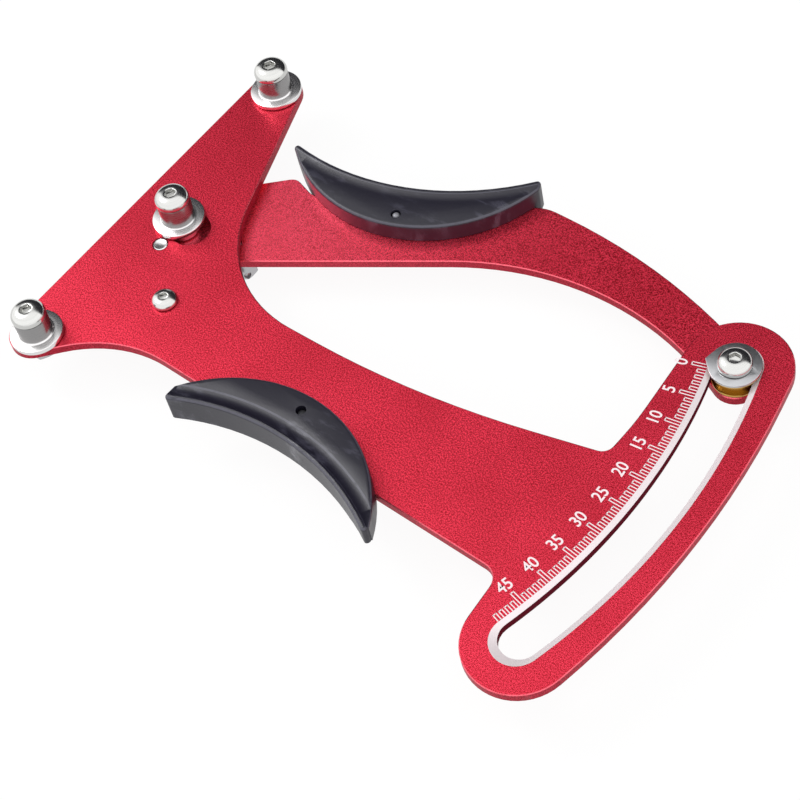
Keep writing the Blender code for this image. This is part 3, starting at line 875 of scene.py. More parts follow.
@dataclass(frozen=True)
class PrintedWhite(Finish):
    """White printing, thin enough to keep some of the plate's grain."""

    relief_depth: float = 0.00006
    grain: float = 2600.0
    worn: Colour = (0.66, 0.44, 0.47, 1.0)
    worn_share: float = 0.22

    def material(self, effects: Effects) -> bpy.types.Material:
        """Make the material.

        Args:
            effects: The shared groups.

        Returns:
            The material.
        """
        material, tree, shader = self.begin()
        blasted = self.placed(tree, effects.blasted, Grain=self.grain)
        colour = mix_colours(tree, times(tree, blasted["Speckle"], self.worn_share), self.colour,
                             self.worn)
        self.surface(tree, shader, colour, blasted["Height"])
        return material


class Shelf:
    """Every finish that the meter needs, as materials made once."""

    def __init__(self, effects: Effects) -> None:
        """Make the shared materials.

        Args:
            effects: The shared groups.
        """
        self.effects = effects
        red, red_shine = (0.62, 0.014, 0.036, 1), (0.85, 0.27)
        self.red = AnodisedRed("anodised_red", red, *red_shine).material(effects)
        # The arm's copy adds a painted sheen that falls off along X.
        self.arm_red = AnodisedRed("anodised_red_arm_painted_sheen", red, *red_shine,
                                   fade=(0.13, 0.03)).material(effects)
        self.black = MattBlack("grip_black", (0.008, 0.007, 0.015, 1), 0.0, 0.40).material(effects)
        self.nib = SatinMetal("grey_nib", (0.16, 0.16, 0.19, 1), 0.4, 0.45).material(effects)
        self.zinc = SatinMetal("satin_zinc", (0.48, 0.485, 0.50, 1), 1.0, 0.30).material(effects)
        self.oxide = SatinMetal("black_oxide", (0.035, 0.035, 0.04, 1), 0.8, 0.38,
                                stain=(0.02, 0.02, 0.022, 1)).material(effects)
        self.wire = SatinMetal("drawn_wire", (0.48, 0.48, 0.49, 1), 1.0, 0.26).material(effects)
        self.bare = SatinMetal("bare_edge", (0.74, 0.66, 0.68, 1), 0.35, 0.34, relief=0.01,
                               stain=(0.68, 0.62, 0.63, 1)).material(effects)
        self.white = PrintedWhite("printed_white", (0.74, 0.66, 0.68, 1)).material(effects)
        # The aluminium's body colour is painted shade on the post sleeves.
        self.aluminium = TurnedMetal("turned_aluminium", (0.76, 0.75, 0.75, 1), 1.0, 0.22,
                                     mark=(0.62, 0.61, 0.61, 1), body=(0.28, 0.275, 0.275, 1))
        self.steel = TurnedMetal("bright_steel", (0.60, 0.60, 0.585, 1), 1.0, 0.14,
                                 mark=(0.44, 0.44, 0.43, 1), pitch=6000.0, relief=0.05)
        self.brass = TurnedMetal("turned_brass", (0.42, 0.25, 0.06, 1), 1.0, 0.22,
                                 mark=(0.36, 0.21, 0.05, 1))

    def turned(self, finish: TurnedMetal, node: str) -> bpy.types.Material:
        """A turned finish about a solid's upright axis."""
        return finish.material(self.effects, axis_of(node), node)


def flatten_levels(piece: bpy.types.Object) -> None:
    """Shade the level faces flat, so that no normal at a rim leans across them.

    Args:
        piece: The finished piece.
    """
    for face in piece.data.polygons:
        if abs(face.normal.z) > LEVEL:
            face.use_smooth = False


def mark_rims(piece: bpy.types.Object, low: float = 0.2, high: float = 0.95,
              facing: Spot = (0.0, 0.0), wall: float = 0.0) -> None:
    """Mark the slanting faces of a piece, so that its finish can brighten them, partly worn and
    partly painted highlight, or darken them and the upright faces with painted shade.

    Args:
        piece: The finished piece.
        low: Least upright share of a rim face's normal.
        high: Most upright share of a rim face's normal.
        facing: Where the brightened edges face in the plan, or nothing where every edge is
            brightened; the edges turned away take painted shade.
        wall: How much painted shade darkens the upright faces.
    """
    away = -0.2
    rim = piece.data.attributes.new("rim", "FLOAT", "FACE")
    for face in piece.data.polygons:
        if low < abs(face.normal.z) < high:
            towards = face.normal.x * facing[0] + face.normal.y * facing[1]
            # Edges towards the facing side brighten, partly worn and partly painted highlight; the
            # others take painted shade.
            rim.data[face.index].value = 1.0 if towards > away else -1.0
        elif abs(face.normal.z) <= low:
            # Upright faces take painted shade.
            rim.data[face.index].value = -wall


def dress(piece: bpy.types.Object, material: bpy.types.Material, body: Body,
          slot: Slot | None, *nodes: str) -> None:
    """Give a piece its material and its body, and hide the solids that it stands for.

    Args:
        piece: The finished piece.
        material: Its material.
        body: The body that it rides on.
        slot: The record's material slot, or None where no slot fits; not used.
        nodes: The solids that it replaces.
    """
    piece.data.materials.clear()
    piece.data.materials.append(material)
    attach(piece, body.value)
    if nodes:
        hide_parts(*nodes)
    log.info("%s rides on %s, %d faces", piece.name, body.value, len(piece.data.polygons))


# Sub-assemblies


@dataclass(frozen=True)
class SlotEdge:
    """The bare milled edge round the curved slot, a thin skin on the plate's bevel."""

    radius: float = 0.17276
    half_width: float = 0.00565
    land: float = 0.00158
    depth: float = 0.00045
    low_angle: float = -16.57
    high_angle: float = 15.97
    end_angle: float = 0.29
    lift: float = 0.00003
    rows: int = 3
    steps: int = 96
    cap_steps: int = 24

    def outline(self, spread: float, share: float) -> list[Spot]:
        """The slot's outline, spread outwards.

        Args:
            spread: How far it lies outside the slot.
            share: The share of the land's width, for its ends.

        Returns:
            The outline's points.
        """
        low = self.low_angle - self.end_angle * share
        high = self.high_angle + self.end_angle * share
        half = self.half_width + spread
        ways = [(high - low) * step / self.steps for step in range(self.steps + 1)]
        outer = [polar(PIVOT, self.radius + half, low + way) for way in ways]
        inner = [polar(PIVOT, self.radius - half, high - way) for way in ways]
        return outer + self.cap(high, half) + inner + self.cap(low, -half)

    def cap(self, angle: float, reach: float) -> list[Spot]:
        """The points of a round end between the two sides.

        Args:
            angle: The end's angle about the pivot.
            reach: The end's radius, less than nothing at the low end.

        Returns:
            The points.
        """
        centre = polar(PIVOT, self.radius, angle)
        return [polar(centre, reach, angle + 180 * step / self.cap_steps)
                for step in range(1, self.cap_steps)]

    def build(self, shelf: Shelf) -> None:
        """Make the bare edge from rings of the outline, bridged.

        Args:
            shelf: The finishes.
        """
        mesh = bpy.data.meshes.new("slot_edge")
        builder = bmesh.new()
        for row in range(self.rows + 1):
            share = row / self.rows
            height = self.lift - self.depth * (1 - share)
            loop = [builder.verts.new((x, y, height))
                    for x, y in self.outline(self.land * share - self.lift, share)]
            for first, second in zip(loop, loop[1:] + loop[:1]):
                builder.edges.new((first, second))
        builder.to_mesh(mesh)
        builder.free()
        piece = add_object("slot_edge", mesh)
        with editing(piece):
            bpy.ops.mesh.select_mode(type="EDGE")
            bpy.ops.mesh.select_all(action="SELECT")
            bpy.ops.mesh.bridge_edge_loops()
            bpy.ops.mesh.select_all(action="SELECT")
            bpy.ops.mesh.normals_make_consistent(inside=False)
        if sum(face.normal.z for face in piece.data.polygons) < 0:
            with editing(piece):
                bpy.ops.mesh.flip_normals()
        settle(piece, 60)
        dress(piece, shelf.bare, Body.FRAME, Slot.RED)


@dataclass
class Plates:
    """The two red plates, merged from their packed outlines."""

    slot: SlotEdge = SlotEdge()
    slot_margin: float = 2.2
    # Edges facing this way are brightened, partly worn and partly painted highlight; edges turned
    # away and the walls take painted shade.
    facing: Spot = (0.5, -0.87)
    wall: float = 0.6
    upright: float = 0.5

    def build(self, shelf: Shelf) -> None:
        """Make both plates.

        Args:
            shelf: The finishes.
        """
        for node, body, red in (("frame_plate", Body.FRAME, shelf.red),
                                ("arm_plate", Body.ARM, shelf.arm_red)):
            piece = copy_solid(node, node + "_skin")
            settle(piece, 25)
            flatten_levels(piece)
            # Painted highlight and painted shade on the edges, painted shade on the walls.
            mark_rims(piece, facing=self.facing, wall=self.wall)
            if body is Body.FRAME:
                self.darken_slot(piece)
            dress(piece, red, body, Slot.RED, node)

    def darken_slot(self, piece: bpy.types.Object) -> None:
        """Mark the slot's wall on the pivot's side, which no light reaches.

        Args:
            piece: The frame plate's copy.
        """
        slot, margin = self.slot, self.slot_margin
        for face in piece.data.polygons:
            reach = Vector((face.center.x - PIVOT[0], face.center.y - PIVOT[1]))
            angle = math.degrees(math.atan2(reach.y, reach.x))
            inside = (abs(reach.length - slot.radius) < slot.half_width + slot.land
                      and slot.low_angle - margin < angle < slot.high_angle + margin)
            outward = face.normal.x * reach.x + face.normal.y * reach.y > 0
            if inside and outward and abs(face.normal.z) < self.upright:
                piece.data.attributes["rim"].data[face.index].value = -1.0


@dataclass
class Scale:
    """The printed scale: hollow marks at each unit and numbers at each five."""

    zero_angle: float = 15.52
    unit_angle: float = 0.6617
    middle_sag: float = 0.33
    units: int = 49
    last_number: int = 45
    number_every: int = 5
    ring: float = 0.16553
    short_mark: float = 0.0024
    long_mark: float = 0.0044
    mark_width: float = 0.00126
    line: float = 0.0003
    number_turn: float = -0.08
    number_radius: float = 0.15835
    number_height: float = 0.00345
    number_squeeze: float = 0.86
    number_gap: float = 0.98
    figure_share: float = 0.70
    bolder_share: float = 0.018
    lift: float = 0.00002

    def angle_of(self, unit: int) -> float:
        """A unit's angle about the pivot in degrees."""
        share = 2 * unit / self.last_number - 1
        return self.zero_angle - self.unit_angle * unit - self.middle_sag * (1 - share ** 2)

    def bar(self, first: Spot, second: Spot) -> bpy.types.Object:
        """A flat printed line between two points.

        Args:
            first: One end.
            second: The other end.

        Returns:
            The line's mesh object.
        """
        deselect_all()
        start, end = Vector((*first, self.lift)), Vector((*second, self.lift))
        span = end - start
        bpy.ops.mesh.primitive_plane_add(size=1, location=(start + end) / 2,
                                         rotation=(0, 0, math.atan2(span.y, span.x)))
        piece = bpy.context.object
        piece.scale = (span.length, self.line, 1)
        bpy.ops.object.transform_apply(location=True, rotation=True, scale=True)
        return piece

    def mark(self, name: str, length: float) -> bpy.types.Object:
        """One hollow mark along X, its foot at the ring and its head towards the pivot.

        Args:
            name: The object's name.
            length: How far it reaches.

        Returns:
            The mark.
        """
        half = (self.mark_width - self.line) / 2
        foot, head = self.ring, self.ring - length
        end = head + self.line / 2
        return join([self.bar((foot, half), (head, half)), self.bar((foot, -half), (head, -half)),
                     self.bar((end, -half), (end, half))], name)

    def number(self, value: int) -> bpy.types.Object:
        """A printed number, its foot towards the ring.

        Args:
            value: The number.

        Returns:
            The number as a mesh.
        """
        deselect_all()
        bpy.ops.object.text_add()
        text = bpy.context.object
        text.name = f"number_{value}"
        text.data.body = str(value)
        text.data.align_x, text.data.align_y = "CENTER", "CENTER"
        text.data.size = self.number_height / self.figure_share
        text.data.offset = self.number_height * self.bolder_share
        text.data.space_character = self.number_gap
        bpy.ops.object.convert(target="MESH")
        text = bpy.context.object
        text.scale = (self.number_squeeze, 1, 1)
        bpy.ops.object.transform_apply(location=False, rotation=False, scale=True)
        middle = [0.0, 0.0, 0.0]
        for axis in range(2):
            places = [vertex.co[axis] for vertex in text.data.vertices]
            middle[axis] = (min(places) + max(places)) / 2
        text.data.transform(Matrix.Translation(-Vector(middle)))
        angle = self.angle_of(value) + self.number_turn
        spot = (*polar(PIVOT, self.number_radius, angle), self.lift)
        place(text, Matrix.Translation(spot)
              @ Matrix.Rotation(math.radians(angle) + math.pi / 2, 4, "Z"))
        return text

    def build(self, shelf: Shelf) -> None:
        """Make all marks and numbers as two printed pieces.

        Args:
            shelf: The finishes.
        """
        short = self.mark("mark_short", self.short_mark)
        long = self.mark("mark_long", self.long_mark)
        marks = []
        for unit in range(self.units + 1):
            pattern = short if unit % self.number_every else long
            piece = add_object(f"mark_{unit}", pattern.data.copy())
            piece.data.transform(Matrix.Translation((*PIVOT, 0)) @ Matrix.Rotation(
                math.radians(self.angle_of(unit)), 4, "Z"))
            marks.append(piece)
        for pattern in (short, long):
            bpy.data.objects.remove(pattern, do_unlink=True)
        numbers = [self.number(value)
                   for value in range(0, self.last_number + 1, self.number_every)]
        for name, pieces in (("scale_marks", marks), ("scale_numbers", numbers)):
            dress(join(pieces, name), shelf.white, Body.FRAME, None)


@dataclass(frozen=True)
class ButtonScrew:
    """A button head screw with a hex socket."""

    radius: float
    head_radius: float
    head_height: float
    flats: float
    depth: float
    edge: float = 0.00025
    rim_share: float = 0.16
    flat_share: float = 0.42
    dome_steps: int = 10
    socket_edge: float = 0.00008

    def build(self, node: str, shelf: Shelf, body: Body) -> None:
        """Model the screw in its solid's place.

        Args:
            node: The solid that it replaces.
            shelf: The finishes.
            body: The body that it rides on.
        """
        low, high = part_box(node)
        seat, edge = high.z - self.head_height, self.edge
        rim = self.head_height * self.rim_share
        flat = self.head_radius * self.flat_share
        profile = [(self.radius - edge, low.z), (self.radius, low.z + edge),
                   (self.radius, seat - edge), (self.radius + 0.2 * edge, seat),
                   (self.head_radius - 0.4 * edge, seat), (self.head_radius, seat + 0.4 * edge),
                   (self.head_radius, seat + rim)]
        for step in range(1, self.dome_steps + 1):
            turn = math.radians(90 * step / self.dome_steps)
            profile.append((flat + (self.head_radius - flat) * math.cos(turn),
                            seat + rim + (self.head_height - rim) * math.sin(turn)))
        piece = lathe(node + "_fine", profile)
        cut(piece, prism("socket_tool", self.flats, high.z - self.depth, high.z + OVERRUN))
        bevel(piece, self.socket_edge)
        stand(piece, node, 40)
        dress(piece, shelf.turned(shelf.steel, node), body, Slot.BRIGHT, node)


@dataclass(frozen=True)
class TurnedPost:
    """A turned post: a sleeve on a flange."""

    flange_radius: float = 0.00783
    flange_thickness: float = 0.0015
    sleeve_radius: float = 0.0050
    bore: float = 0.0028
    edge: float = 0.00028
    fillet_steps: int = 5

    def build(self, node: str, flange_low: float, shelf: Shelf, body: Body) -> None:
        """Model the post in its solid's place.

        Args:
            node: The solid that it replaces.
            flange_low: Height of the flange's lower face.
            shelf: The finishes.
            body: The body that it rides on.
        """
        low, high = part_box(node)
        top, edge, flange, sleeve = high.z, self.edge, self.flange_radius, self.sleeve_radius
        flange_top = flange_low + self.flange_thickness
        profile = [(self.bore, low.z)]
        if low.z < flange_low - edge:
            profile += [(sleeve - edge, low.z), (sleeve, low.z + edge), (sleeve, flange_low)]
        profile += [(flange - edge, flange_low), (flange - 0.3 * edge, flange_low + 0.3 * edge),
                    (flange, flange_low + edge), (flange, flange_top - edge),
                    (flange - 0.3 * edge, flange_top - 0.3 * edge), (flange - edge, flange_top)]
        for step in range(self.fillet_steps + 1):
            turn = math.radians(90 * step / self.fillet_steps)
            profile.append((sleeve + 2 * edge * (1 - math.sin(turn)),
                            flange_top + 2 * edge * (1 - math.cos(turn))))
        profile += [(sleeve, top - edge), (sleeve - 0.3 * edge, top - 0.3 * edge),
                    (sleeve - edge, top), (self.bore + edge, top), (self.bore, top - edge)]
        piece = lathe(node + "_fine", profile, 72, closed=True)
        stand(piece, node, 40)
        dress(piece, shelf.turned(shelf.aluminium, node), body, Slot.ALUMINIUM, node)


@dataclass(frozen=True)
class HexNut:
    """A hexagon nut with chamfered corners and a bore."""

    flats: float
    thickness: float
    bore: float
    corner_slope: float = 28.0
    chamfer: float = 0.0003
    edge: float = 0.00006

    def model(self, name: str, low: float) -> bpy.types.Object:
        """Model the nut about Z.

        Args:
            name: The object's name.
            low: Height of its low face.

        Returns:
            The nut.
        """
        high, wide = low + self.thickness, self.bore + self.chamfer + OVERRUN
        stand_out = corner_radius(self.flats) - self.flats / 2
        piece = hexagon(name, self.flats, low, high,
                        stand_out * math.tan(math.radians(self.corner_slope)))
        cut(piece, lathe("bore_tool", [(wide, low - OVERRUN), (self.bore, low + self.chamfer),
                                       (self.bore, high - self.chamfer), (wide, high + OVERRUN)],
                         TOOL_SEGMENTS))
        bevel(piece, self.edge, 40, segments=1)
        return piece

    def build(self, node: str, shelf: Shelf, body: Body) -> None:
        """Model the nut upright in its solid's place.

        Args:
            node: The solid that it replaces.
            shelf: The finishes.
            body: The body that it rides on.
        """
        piece = self.model(node + "_fine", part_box(node)[0].z)
        stand(piece, node)
        dress(piece, shelf.zinc, body, Slot.ZINC, node)


@dataclass
class Posts:
    """The three posts that the spoke runs between, each with its screw and its nut."""

    post: TurnedPost = TurnedPost()
    screw: ButtonScrew = ButtonScrew(0.0025, 0.0051, 0.0030, 0.0032, 0.0018)
    nut: HexNut = HexNut(0.0080, 0.0030, 0.0028)
    outer_seat: float = 0.00025
    centre_seat: float = 0.0004

    def build(self, shelf: Shelf) -> None:
        """Make the posts one after the other.

        Args:
            shelf: The finishes.
        """
        for node, flange_low, body in (("lower_post", self.outer_seat, Body.FRAME),
                                       ("upper_post", self.outer_seat, Body.FRAME),
                                       ("centre_post", self.centre_seat, Body.ARM)):
            self.post.build(node, flange_low, shelf, body)
            self.screw.build(node + "_screw", shelf, body)
            self.nut.build(node + "_nut", shelf, body)


@dataclass
class Pointer:
    """The pointer with its screw and nut, and the smaller screw that holds the anchor stud."""

    screw: ButtonScrew = ButtonScrew(0.0025, 0.00475, 0.0028, 0.0030, 0.0016)
    anchor_screw: ButtonScrew = ButtonScrew(0.0020, 0.0038, 0.0022, 0.0025, 0.0013)
    nut: HexNut = HexNut(0.0080, 0.0027, 0.0028)
    edge: float = 0.00012

    def build(self, shelf: Shelf) -> None:
        """Make the screws, the nut and the pointer.

        Args:
            shelf: The finishes.
        """
        self.screw.build("pointer_screw", shelf, Body.ARM)
        self.anchor_screw.build("anchor_screw", shelf, Body.ANCHOR)
        self.nut.build("pointer_nut", shelf, Body.ARM)
        piece = copy_solid("pointer", "pointer_fine")
        bevel(piece, self.edge, 40)
        settle(piece)
        dress(piece, shelf.zinc, Body.ARM, Slot.ZINC, "pointer")


@dataclass
class Rings:
    """The washers, the pivot pin and the slot bush, turned about their axes."""

    edge: float = 0.00012
    pivot_bore: float = 0.00245
    screw_bore: float = 0.0028
    pin: float = 0.00215
    pin_edge: float = 0.0002
    pin_foot: float = 0.0014
    pin_middle: float = 0.0002
    bush: float = 0.00535
    bush_flange_top: float = -0.00325

    def washer(self, node: str, bore: float, shelf: Shelf, finish: TurnedMetal, body: Body,
               slot: Slot) -> None:
        """Model a flat washer that stands upright, in its solid's place.

        Args:
            node: The solid that it replaces.
            bore: Its bore's radius.
            shelf: The finishes.
            finish: Its own finish.
            body: The body that it rides on.
            slot: The record's material slot.
        """
        low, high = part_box(node)
        radius, edge = (high.x - low.x) / 2, self.edge
        profile = [(bore, low.z), (radius - edge, low.z), (radius, low.z + edge),
                   (radius, high.z - edge), (radius - edge, high.z), (bore, high.z)]
        piece = lathe(node + "_fine", profile, closed=True)
        stand(piece, node)
        dress(piece, shelf.turned(finish, node), body, slot, node)

    def pivot_pin(self, shelf: Shelf) -> None:
        """Model the pivot pin with its foot and its shallow dished end.

        Args:
            shelf: The finishes.
        """
        low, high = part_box("pivot_pin")
        foot, pin, edge = (high.x - low.x) / 2, self.pin, self.pin_edge
        foot_top, dish = low.z + self.pin_foot, high.z - 0.5 * edge
        profile = [(foot - 2 * edge, low.z), (foot, low.z + 2 * edge), (foot, foot_top - edge),
                   (foot - edge, foot_top), (pin, foot_top), (pin, high.z - edge),
                   (pin - edge, high.z), (pin - 3 * edge, high.z), (pin - 4 * edge, dish),
                   (self.pin_middle, dish)]
        piece = lathe("pivot_pin_fine", profile)
        stand(piece, "pivot_pin", 30)
        dress(piece, shelf.turned(shelf.aluminium, "pivot_pin"), Body.FRAME, Slot.BRIGHT,
              "pivot_pin")

    def slot_bush(self, shelf: Shelf) -> None:
        """Model the bush that runs in the slot, with its flange between the plates.

        Args:
            shelf: The finishes.
        """
        low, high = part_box("slot_bush")
        flange, bush, bore, edge = (high.x - low.x) / 2, self.bush, self.screw_bore, self.edge
        top = self.bush_flange_top
        profile = [(bore, low.z), (flange - edge, low.z), (flange, low.z + edge),
                   (flange, top - edge), (flange - edge, top), (bush, top),
                   (bush, high.z - edge), (bush - edge, high.z), (bore, high.z)]
        piece = lathe("slot_bush_fine", profile, 72, closed=True)
        stand(piece, "slot_bush")
        dress(piece, shelf.turned(shelf.brass, "slot_bush"), Body.ARM, Slot.BRASS, "slot_bush")

    def build(self, shelf: Shelf) -> None:
        """Make the washers, the pin and the bush.

        Args:
            shelf: The finishes.
        """
        self.washer("pivot_washer", self.pivot_bore, shelf, shelf.brass, Body.FRAME, Slot.BRASS)
        self.washer("pivot_back_washer", self.pivot_bore, shelf, shelf.steel, Body.FRAME,
                    Slot.ZINC)
        self.washer("pointer_washer", self.screw_bore, shelf, shelf.brass, Body.ARM, Slot.BRASS)
        self.pivot_pin(shelf)
        self.slot_bush(shelf)


@dataclass
class Linkage:
    """The studs, the calibration screw and the return spring on their slanting line."""

    anchor: Spot = (0.0245, -0.0258)
    arm_stud: Spot = (0.0252, 0.0037)
    depth: float = 0.0135
    seat: float = 0.00025
    stud_flats: float = 0.0070
    stud_bottom: float = -0.0168
    stud_fall: float = 0.0003
    stud_edge: float = 0.0001
    anchor_top: float = -0.00325
    anchor_bore: float = 0.0023
    anchor_bore_depth: float = 0.0060
    arm_stud_top: float = -0.00745
    spigot: float = 0.0015
    spigot_top: float = -0.0042
    spigot_edge: float = 0.0002
    spigot_root: float = 0.0005
    hole: float = 0.0018
    hole_reach: float = 0.01
    dimple: float = 0.0011
    dimple_depth: float = 0.0012
    dimple_edge: float = 0.0002
    dimple_height: float = -0.0152
    dimple_turn: float = -120.0
    rod: float = 0.0015
    rod_past: float = 0.0006
    rod_head: float = 0.00275
    rod_head_length: float = 0.0030
    rod_edge: float = 0.0003
    head_edge: float = 0.0001
    knurl: float = 0.00008
    knurl_rings: int = 18
    socket_flats: float = 0.0025
    socket_depth: float = 0.0013
    pitch: float = 0.0005
    thread: float = 0.00022
    nut_flats: float = 0.0055
    nut_thickness: float = 0.0024
    washer_radius: float = 0.0030
    washer_thickness: float = 0.0005
    washer_edge: float = 0.0001
    coil: float = 0.0025
    wire: float = 0.0009
    wire_points: int = 14
    turns: int = 7
    turn_steps: int = 40
    keep: float = 0.47

    @property
    def heading(self) -> float:
        """The line's angle in the plan, in radians."""
        return math.atan2(self.arm_stud[1] - self.anchor[1], self.arm_stud[0] - self.anchor[0])

    @property
    def span(self) -> float:
        """The distance between the studs' axes."""
        return math.dist(self.anchor, self.arm_stud)

    @property
    def line(self) -> Matrix:
        """Where a piece modelled about Z goes, its Z along the line."""
        return (Matrix.Translation((*self.anchor, -self.depth))
                @ Matrix.Rotation(self.heading, 4, "Z") @ Matrix.Rotation(math.pi / 2, 4, "Y"))

    @property
    def face(self) -> float:
        """How far along the line the first piece past a stud's axis starts."""
        return self.stud_flats / 2 + self.seat

    def stud(self, node: str, top: float) -> bpy.types.Object:
        """A plain hexagonal stud about Z, up to the height of its shoulder."""
        return hexagon(node + "_fine", self.stud_flats, self.stud_bottom, top, self.stud_fall)

    def bore_anchor(self, piece: bpy.types.Object) -> None:
        """Cut the thread's hole into the anchor stud's top.

        Args:
            piece: The plain stud.
        """
        cut(piece, lathe("bore_tool", [
            (self.anchor_bore, self.anchor_top - self.anchor_bore_depth),
            (self.anchor_bore, self.anchor_top + OVERRUN)], TOOL_SEGMENTS))

    def neck_arm_stud(self, piece: bpy.types.Object) -> None:
        """Put the spigot on the arm stud and the dimple in its flat.

        Args:
            piece: The plain stud.
        """
        spigot, edge, flat = self.spigot, self.spigot_edge, self.stud_flats / 2
        cut(piece, lathe("neck_tool", [(spigot, self.arm_stud_top - self.spigot_root),
                                       (spigot, self.spigot_top - edge),
                                       (spigot - edge, self.spigot_top)], TOOL_SEGMENTS),
            Cut.TOGETHER)
        floor = flat - self.dimple_depth
        side = lathe("side_tool", [(self.dimple - self.dimple_edge, floor),
                                   (self.dimple, floor + self.dimple_edge),
                                   (self.dimple, flat + OVERRUN)], 32)
        place(side, Matrix.Translation((0, 0, self.dimple_height))
              @ Matrix.Rotation(math.radians(self.dimple_turn), 4, "Z")
              @ Matrix.Rotation(math.pi / 2, 4, "Y"))
        cut(piece, side)

    def finish_stud(self, piece: bpy.types.Object, node: str, centre: Spot, body: Body,
                    shelf: Shelf) -> None:
        """Cut a stud's cross hole, turn it to the line and dress it.

        Args:
            piece: The stud about Z.
            node: The solid that it replaces.
            centre: Its axis in the plan.
            body: The body that it rides on.
            shelf: The finishes.
        """
        cross = lathe("cross_tool", [(self.hole, -self.hole_reach), (self.hole, self.hole_reach)],
                      TOOL_SEGMENTS)
        place(cross, Matrix.Translation((0, 0, -self.depth)) @ Matrix.Rotation(math.pi / 2, 4, "Y"))
        cut(piece, cross)
        bevel(piece, self.stud_edge)
        place(piece, Matrix.Translation((*centre, 0)) @ Matrix.Rotation(self.heading, 4, "Z"))
        settle(piece)
        dress(piece, shelf.zinc, body, Slot.ZINC, node)

    def on_line(self, piece: bpy.types.Object, node: str, material: bpy.types.Material,
                body: Body, slot: Slot, angle: float = 35.0) -> None:
        """Settle a piece that was modelled about Z on the line, and dress it.

        Args:
            piece: The piece.
            node: The solid that it replaces.
            material: Its material.
            body: The body that it rides on.
            slot: The record's material slot.
            angle: Edges sharper than this many degrees stay sharp.
        """
        place(piece, self.line)
        settle(piece, angle)
        dress(piece, material, body, slot, node)

    def screw(self, shelf: Shelf) -> None:
        """Model the calibration screw with its thread and its socket head.

        Args:
            shelf: The finishes.
        """
        edge, small, head, rod = self.rod_edge, self.head_edge, self.rod_head, self.rod
        head_top = -self.face - self.nut_thickness - self.seat
        head_low = head_top - self.rod_head_length
        tip = self.span + self.stud_flats / 2 + self.rod_past
        profile = [(head - edge, head_low), (head - small, head_low + small),
                   (head, head_low + edge)]
        for ring in range(self.knurl_rings):
            share = ring / (self.knurl_rings - 1)
            height = head_low + edge + small + (self.rod_head_length - 2 * edge - small) * share
            profile.append((head - (self.knurl if ring % 2 else 0), height))
        profile += [(head - small, head_top), (rod, head_top)]
        start = head_top + edge + small
        for step in range(int((tip - head_top - 2 * (edge + small)) / self.pitch)):
            base = start + step * self.pitch
            profile += [(rod - self.thread, base + 0.25 * self.pitch),
                        (rod, base + 0.75 * self.pitch)]
        profile += [(rod - edge, tip)]
        piece = lathe("calibration_screw_fine", profile, 40)
        cut(piece, prism("socket_tool", self.socket_flats, head_low - OVERRUN,
                         head_low + self.socket_depth))
        self.on_line(piece, "calibration_screw", shelf.oxide, Body.ANCHOR, Slot.BLACK, 50)

    def spring(self, shelf: Shelf) -> None:
        """Model the return spring as one tube.

        Args:
            shelf: The finishes.
        """
        low = self.face + self.nut_thickness + self.seat
        high = self.span - self.face - self.washer_thickness - self.seat
        start, finish = low + self.wire / 2, high - self.wire / 2
        steps = self.turns * self.turn_steps
        deselect_all()
        bpy.ops.mesh.primitive_circle_add(vertices=self.wire_points, radius=self.wire / 2,
                                          location=(self.coil, 0, start),
                                          rotation=(math.pi / 2, 0, 0), fill_type="NOTHING")
        piece = named(bpy.context.object, "return_spring_fine")
        bpy.ops.object.transform_apply(location=True, rotation=True, scale=True)
        apply_modifier(piece, "SCREW", angle=math.tau * self.turns, steps=steps,
                       render_steps=steps, screw_offset=finish - start, axis="Z",
                       use_merge_vertices=False)
        with editing(piece):
            bpy.ops.mesh.remove_doubles(threshold=1e-7)
            bpy.ops.mesh.select_all(action="DESELECT")
            bpy.ops.mesh.select_mode(type="EDGE")
            bpy.ops.mesh.select_non_manifold()
            bpy.ops.mesh.edge_face_add()
            bpy.ops.mesh.select_all(action="SELECT")
            bpy.ops.mesh.normals_make_consistent(inside=False)
        self.on_line(piece, "return_spring", shelf.wire, Body.ANCHOR, Slot.SPRING, 60)
        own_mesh(piece)

    def nuts(self, shelf: Shelf) -> None:
        """Make the lock nut and the brass adjusting nut on the calibration screw.

        Args:
            shelf: The finishes.
        """
        nut = HexNut(self.nut_flats, self.nut_thickness, self.hole)
        brass = shelf.brass.material(shelf.effects, (*self.anchor, 0.0), "adjusting_nut")
        for node, low, material, slot in (
                ("lock_nut", -self.face - self.nut_thickness, shelf.zinc, Slot.ZINC),
                ("adjusting_nut", self.face, brass, Slot.BRASS)):
            self.on_line(nut.model(node + "_fine", low), node, material, Body.ANCHOR, slot)

    def washer(self, shelf: Shelf) -> None:
        """Make the washer that the spring presses on the arm stud.

        Args:
            shelf: The finishes.
        """
        edge, radius, hole = self.washer_edge, self.washer_radius, self.hole
        high = self.span - self.face
        low = high - self.washer_thickness
        profile = [(hole, low), (radius - edge, low), (radius, low + edge), (radius, high - edge),
                   (radius - edge, high), (hole, high)]
        piece = lathe("spring_washer_fine", profile, 48, closed=True)
        self.on_line(piece, "spring_washer", shelf.zinc, Body.ARM_SWIVEL, Slot.ZINC)

    def build(self, shelf: Shelf) -> None:
        """Make the whole linkage.

        Args:
            shelf: The finishes.
        """
        piece = self.stud("anchor_stud", self.anchor_top)
        self.bore_anchor(piece)
        self.finish_stud(piece, "anchor_stud", self.anchor, Body.ANCHOR, shelf)
        piece = self.stud("arm_stud", self.arm_stud_top)
        self.neck_arm_stud(piece)
        self.finish_stud(piece, "arm_stud", self.arm_stud, Body.ARM_SWIVEL, shelf)
        self.screw(shelf)
        self.spring(shelf)
        self.nuts(shelf)
        self.washer(shelf)


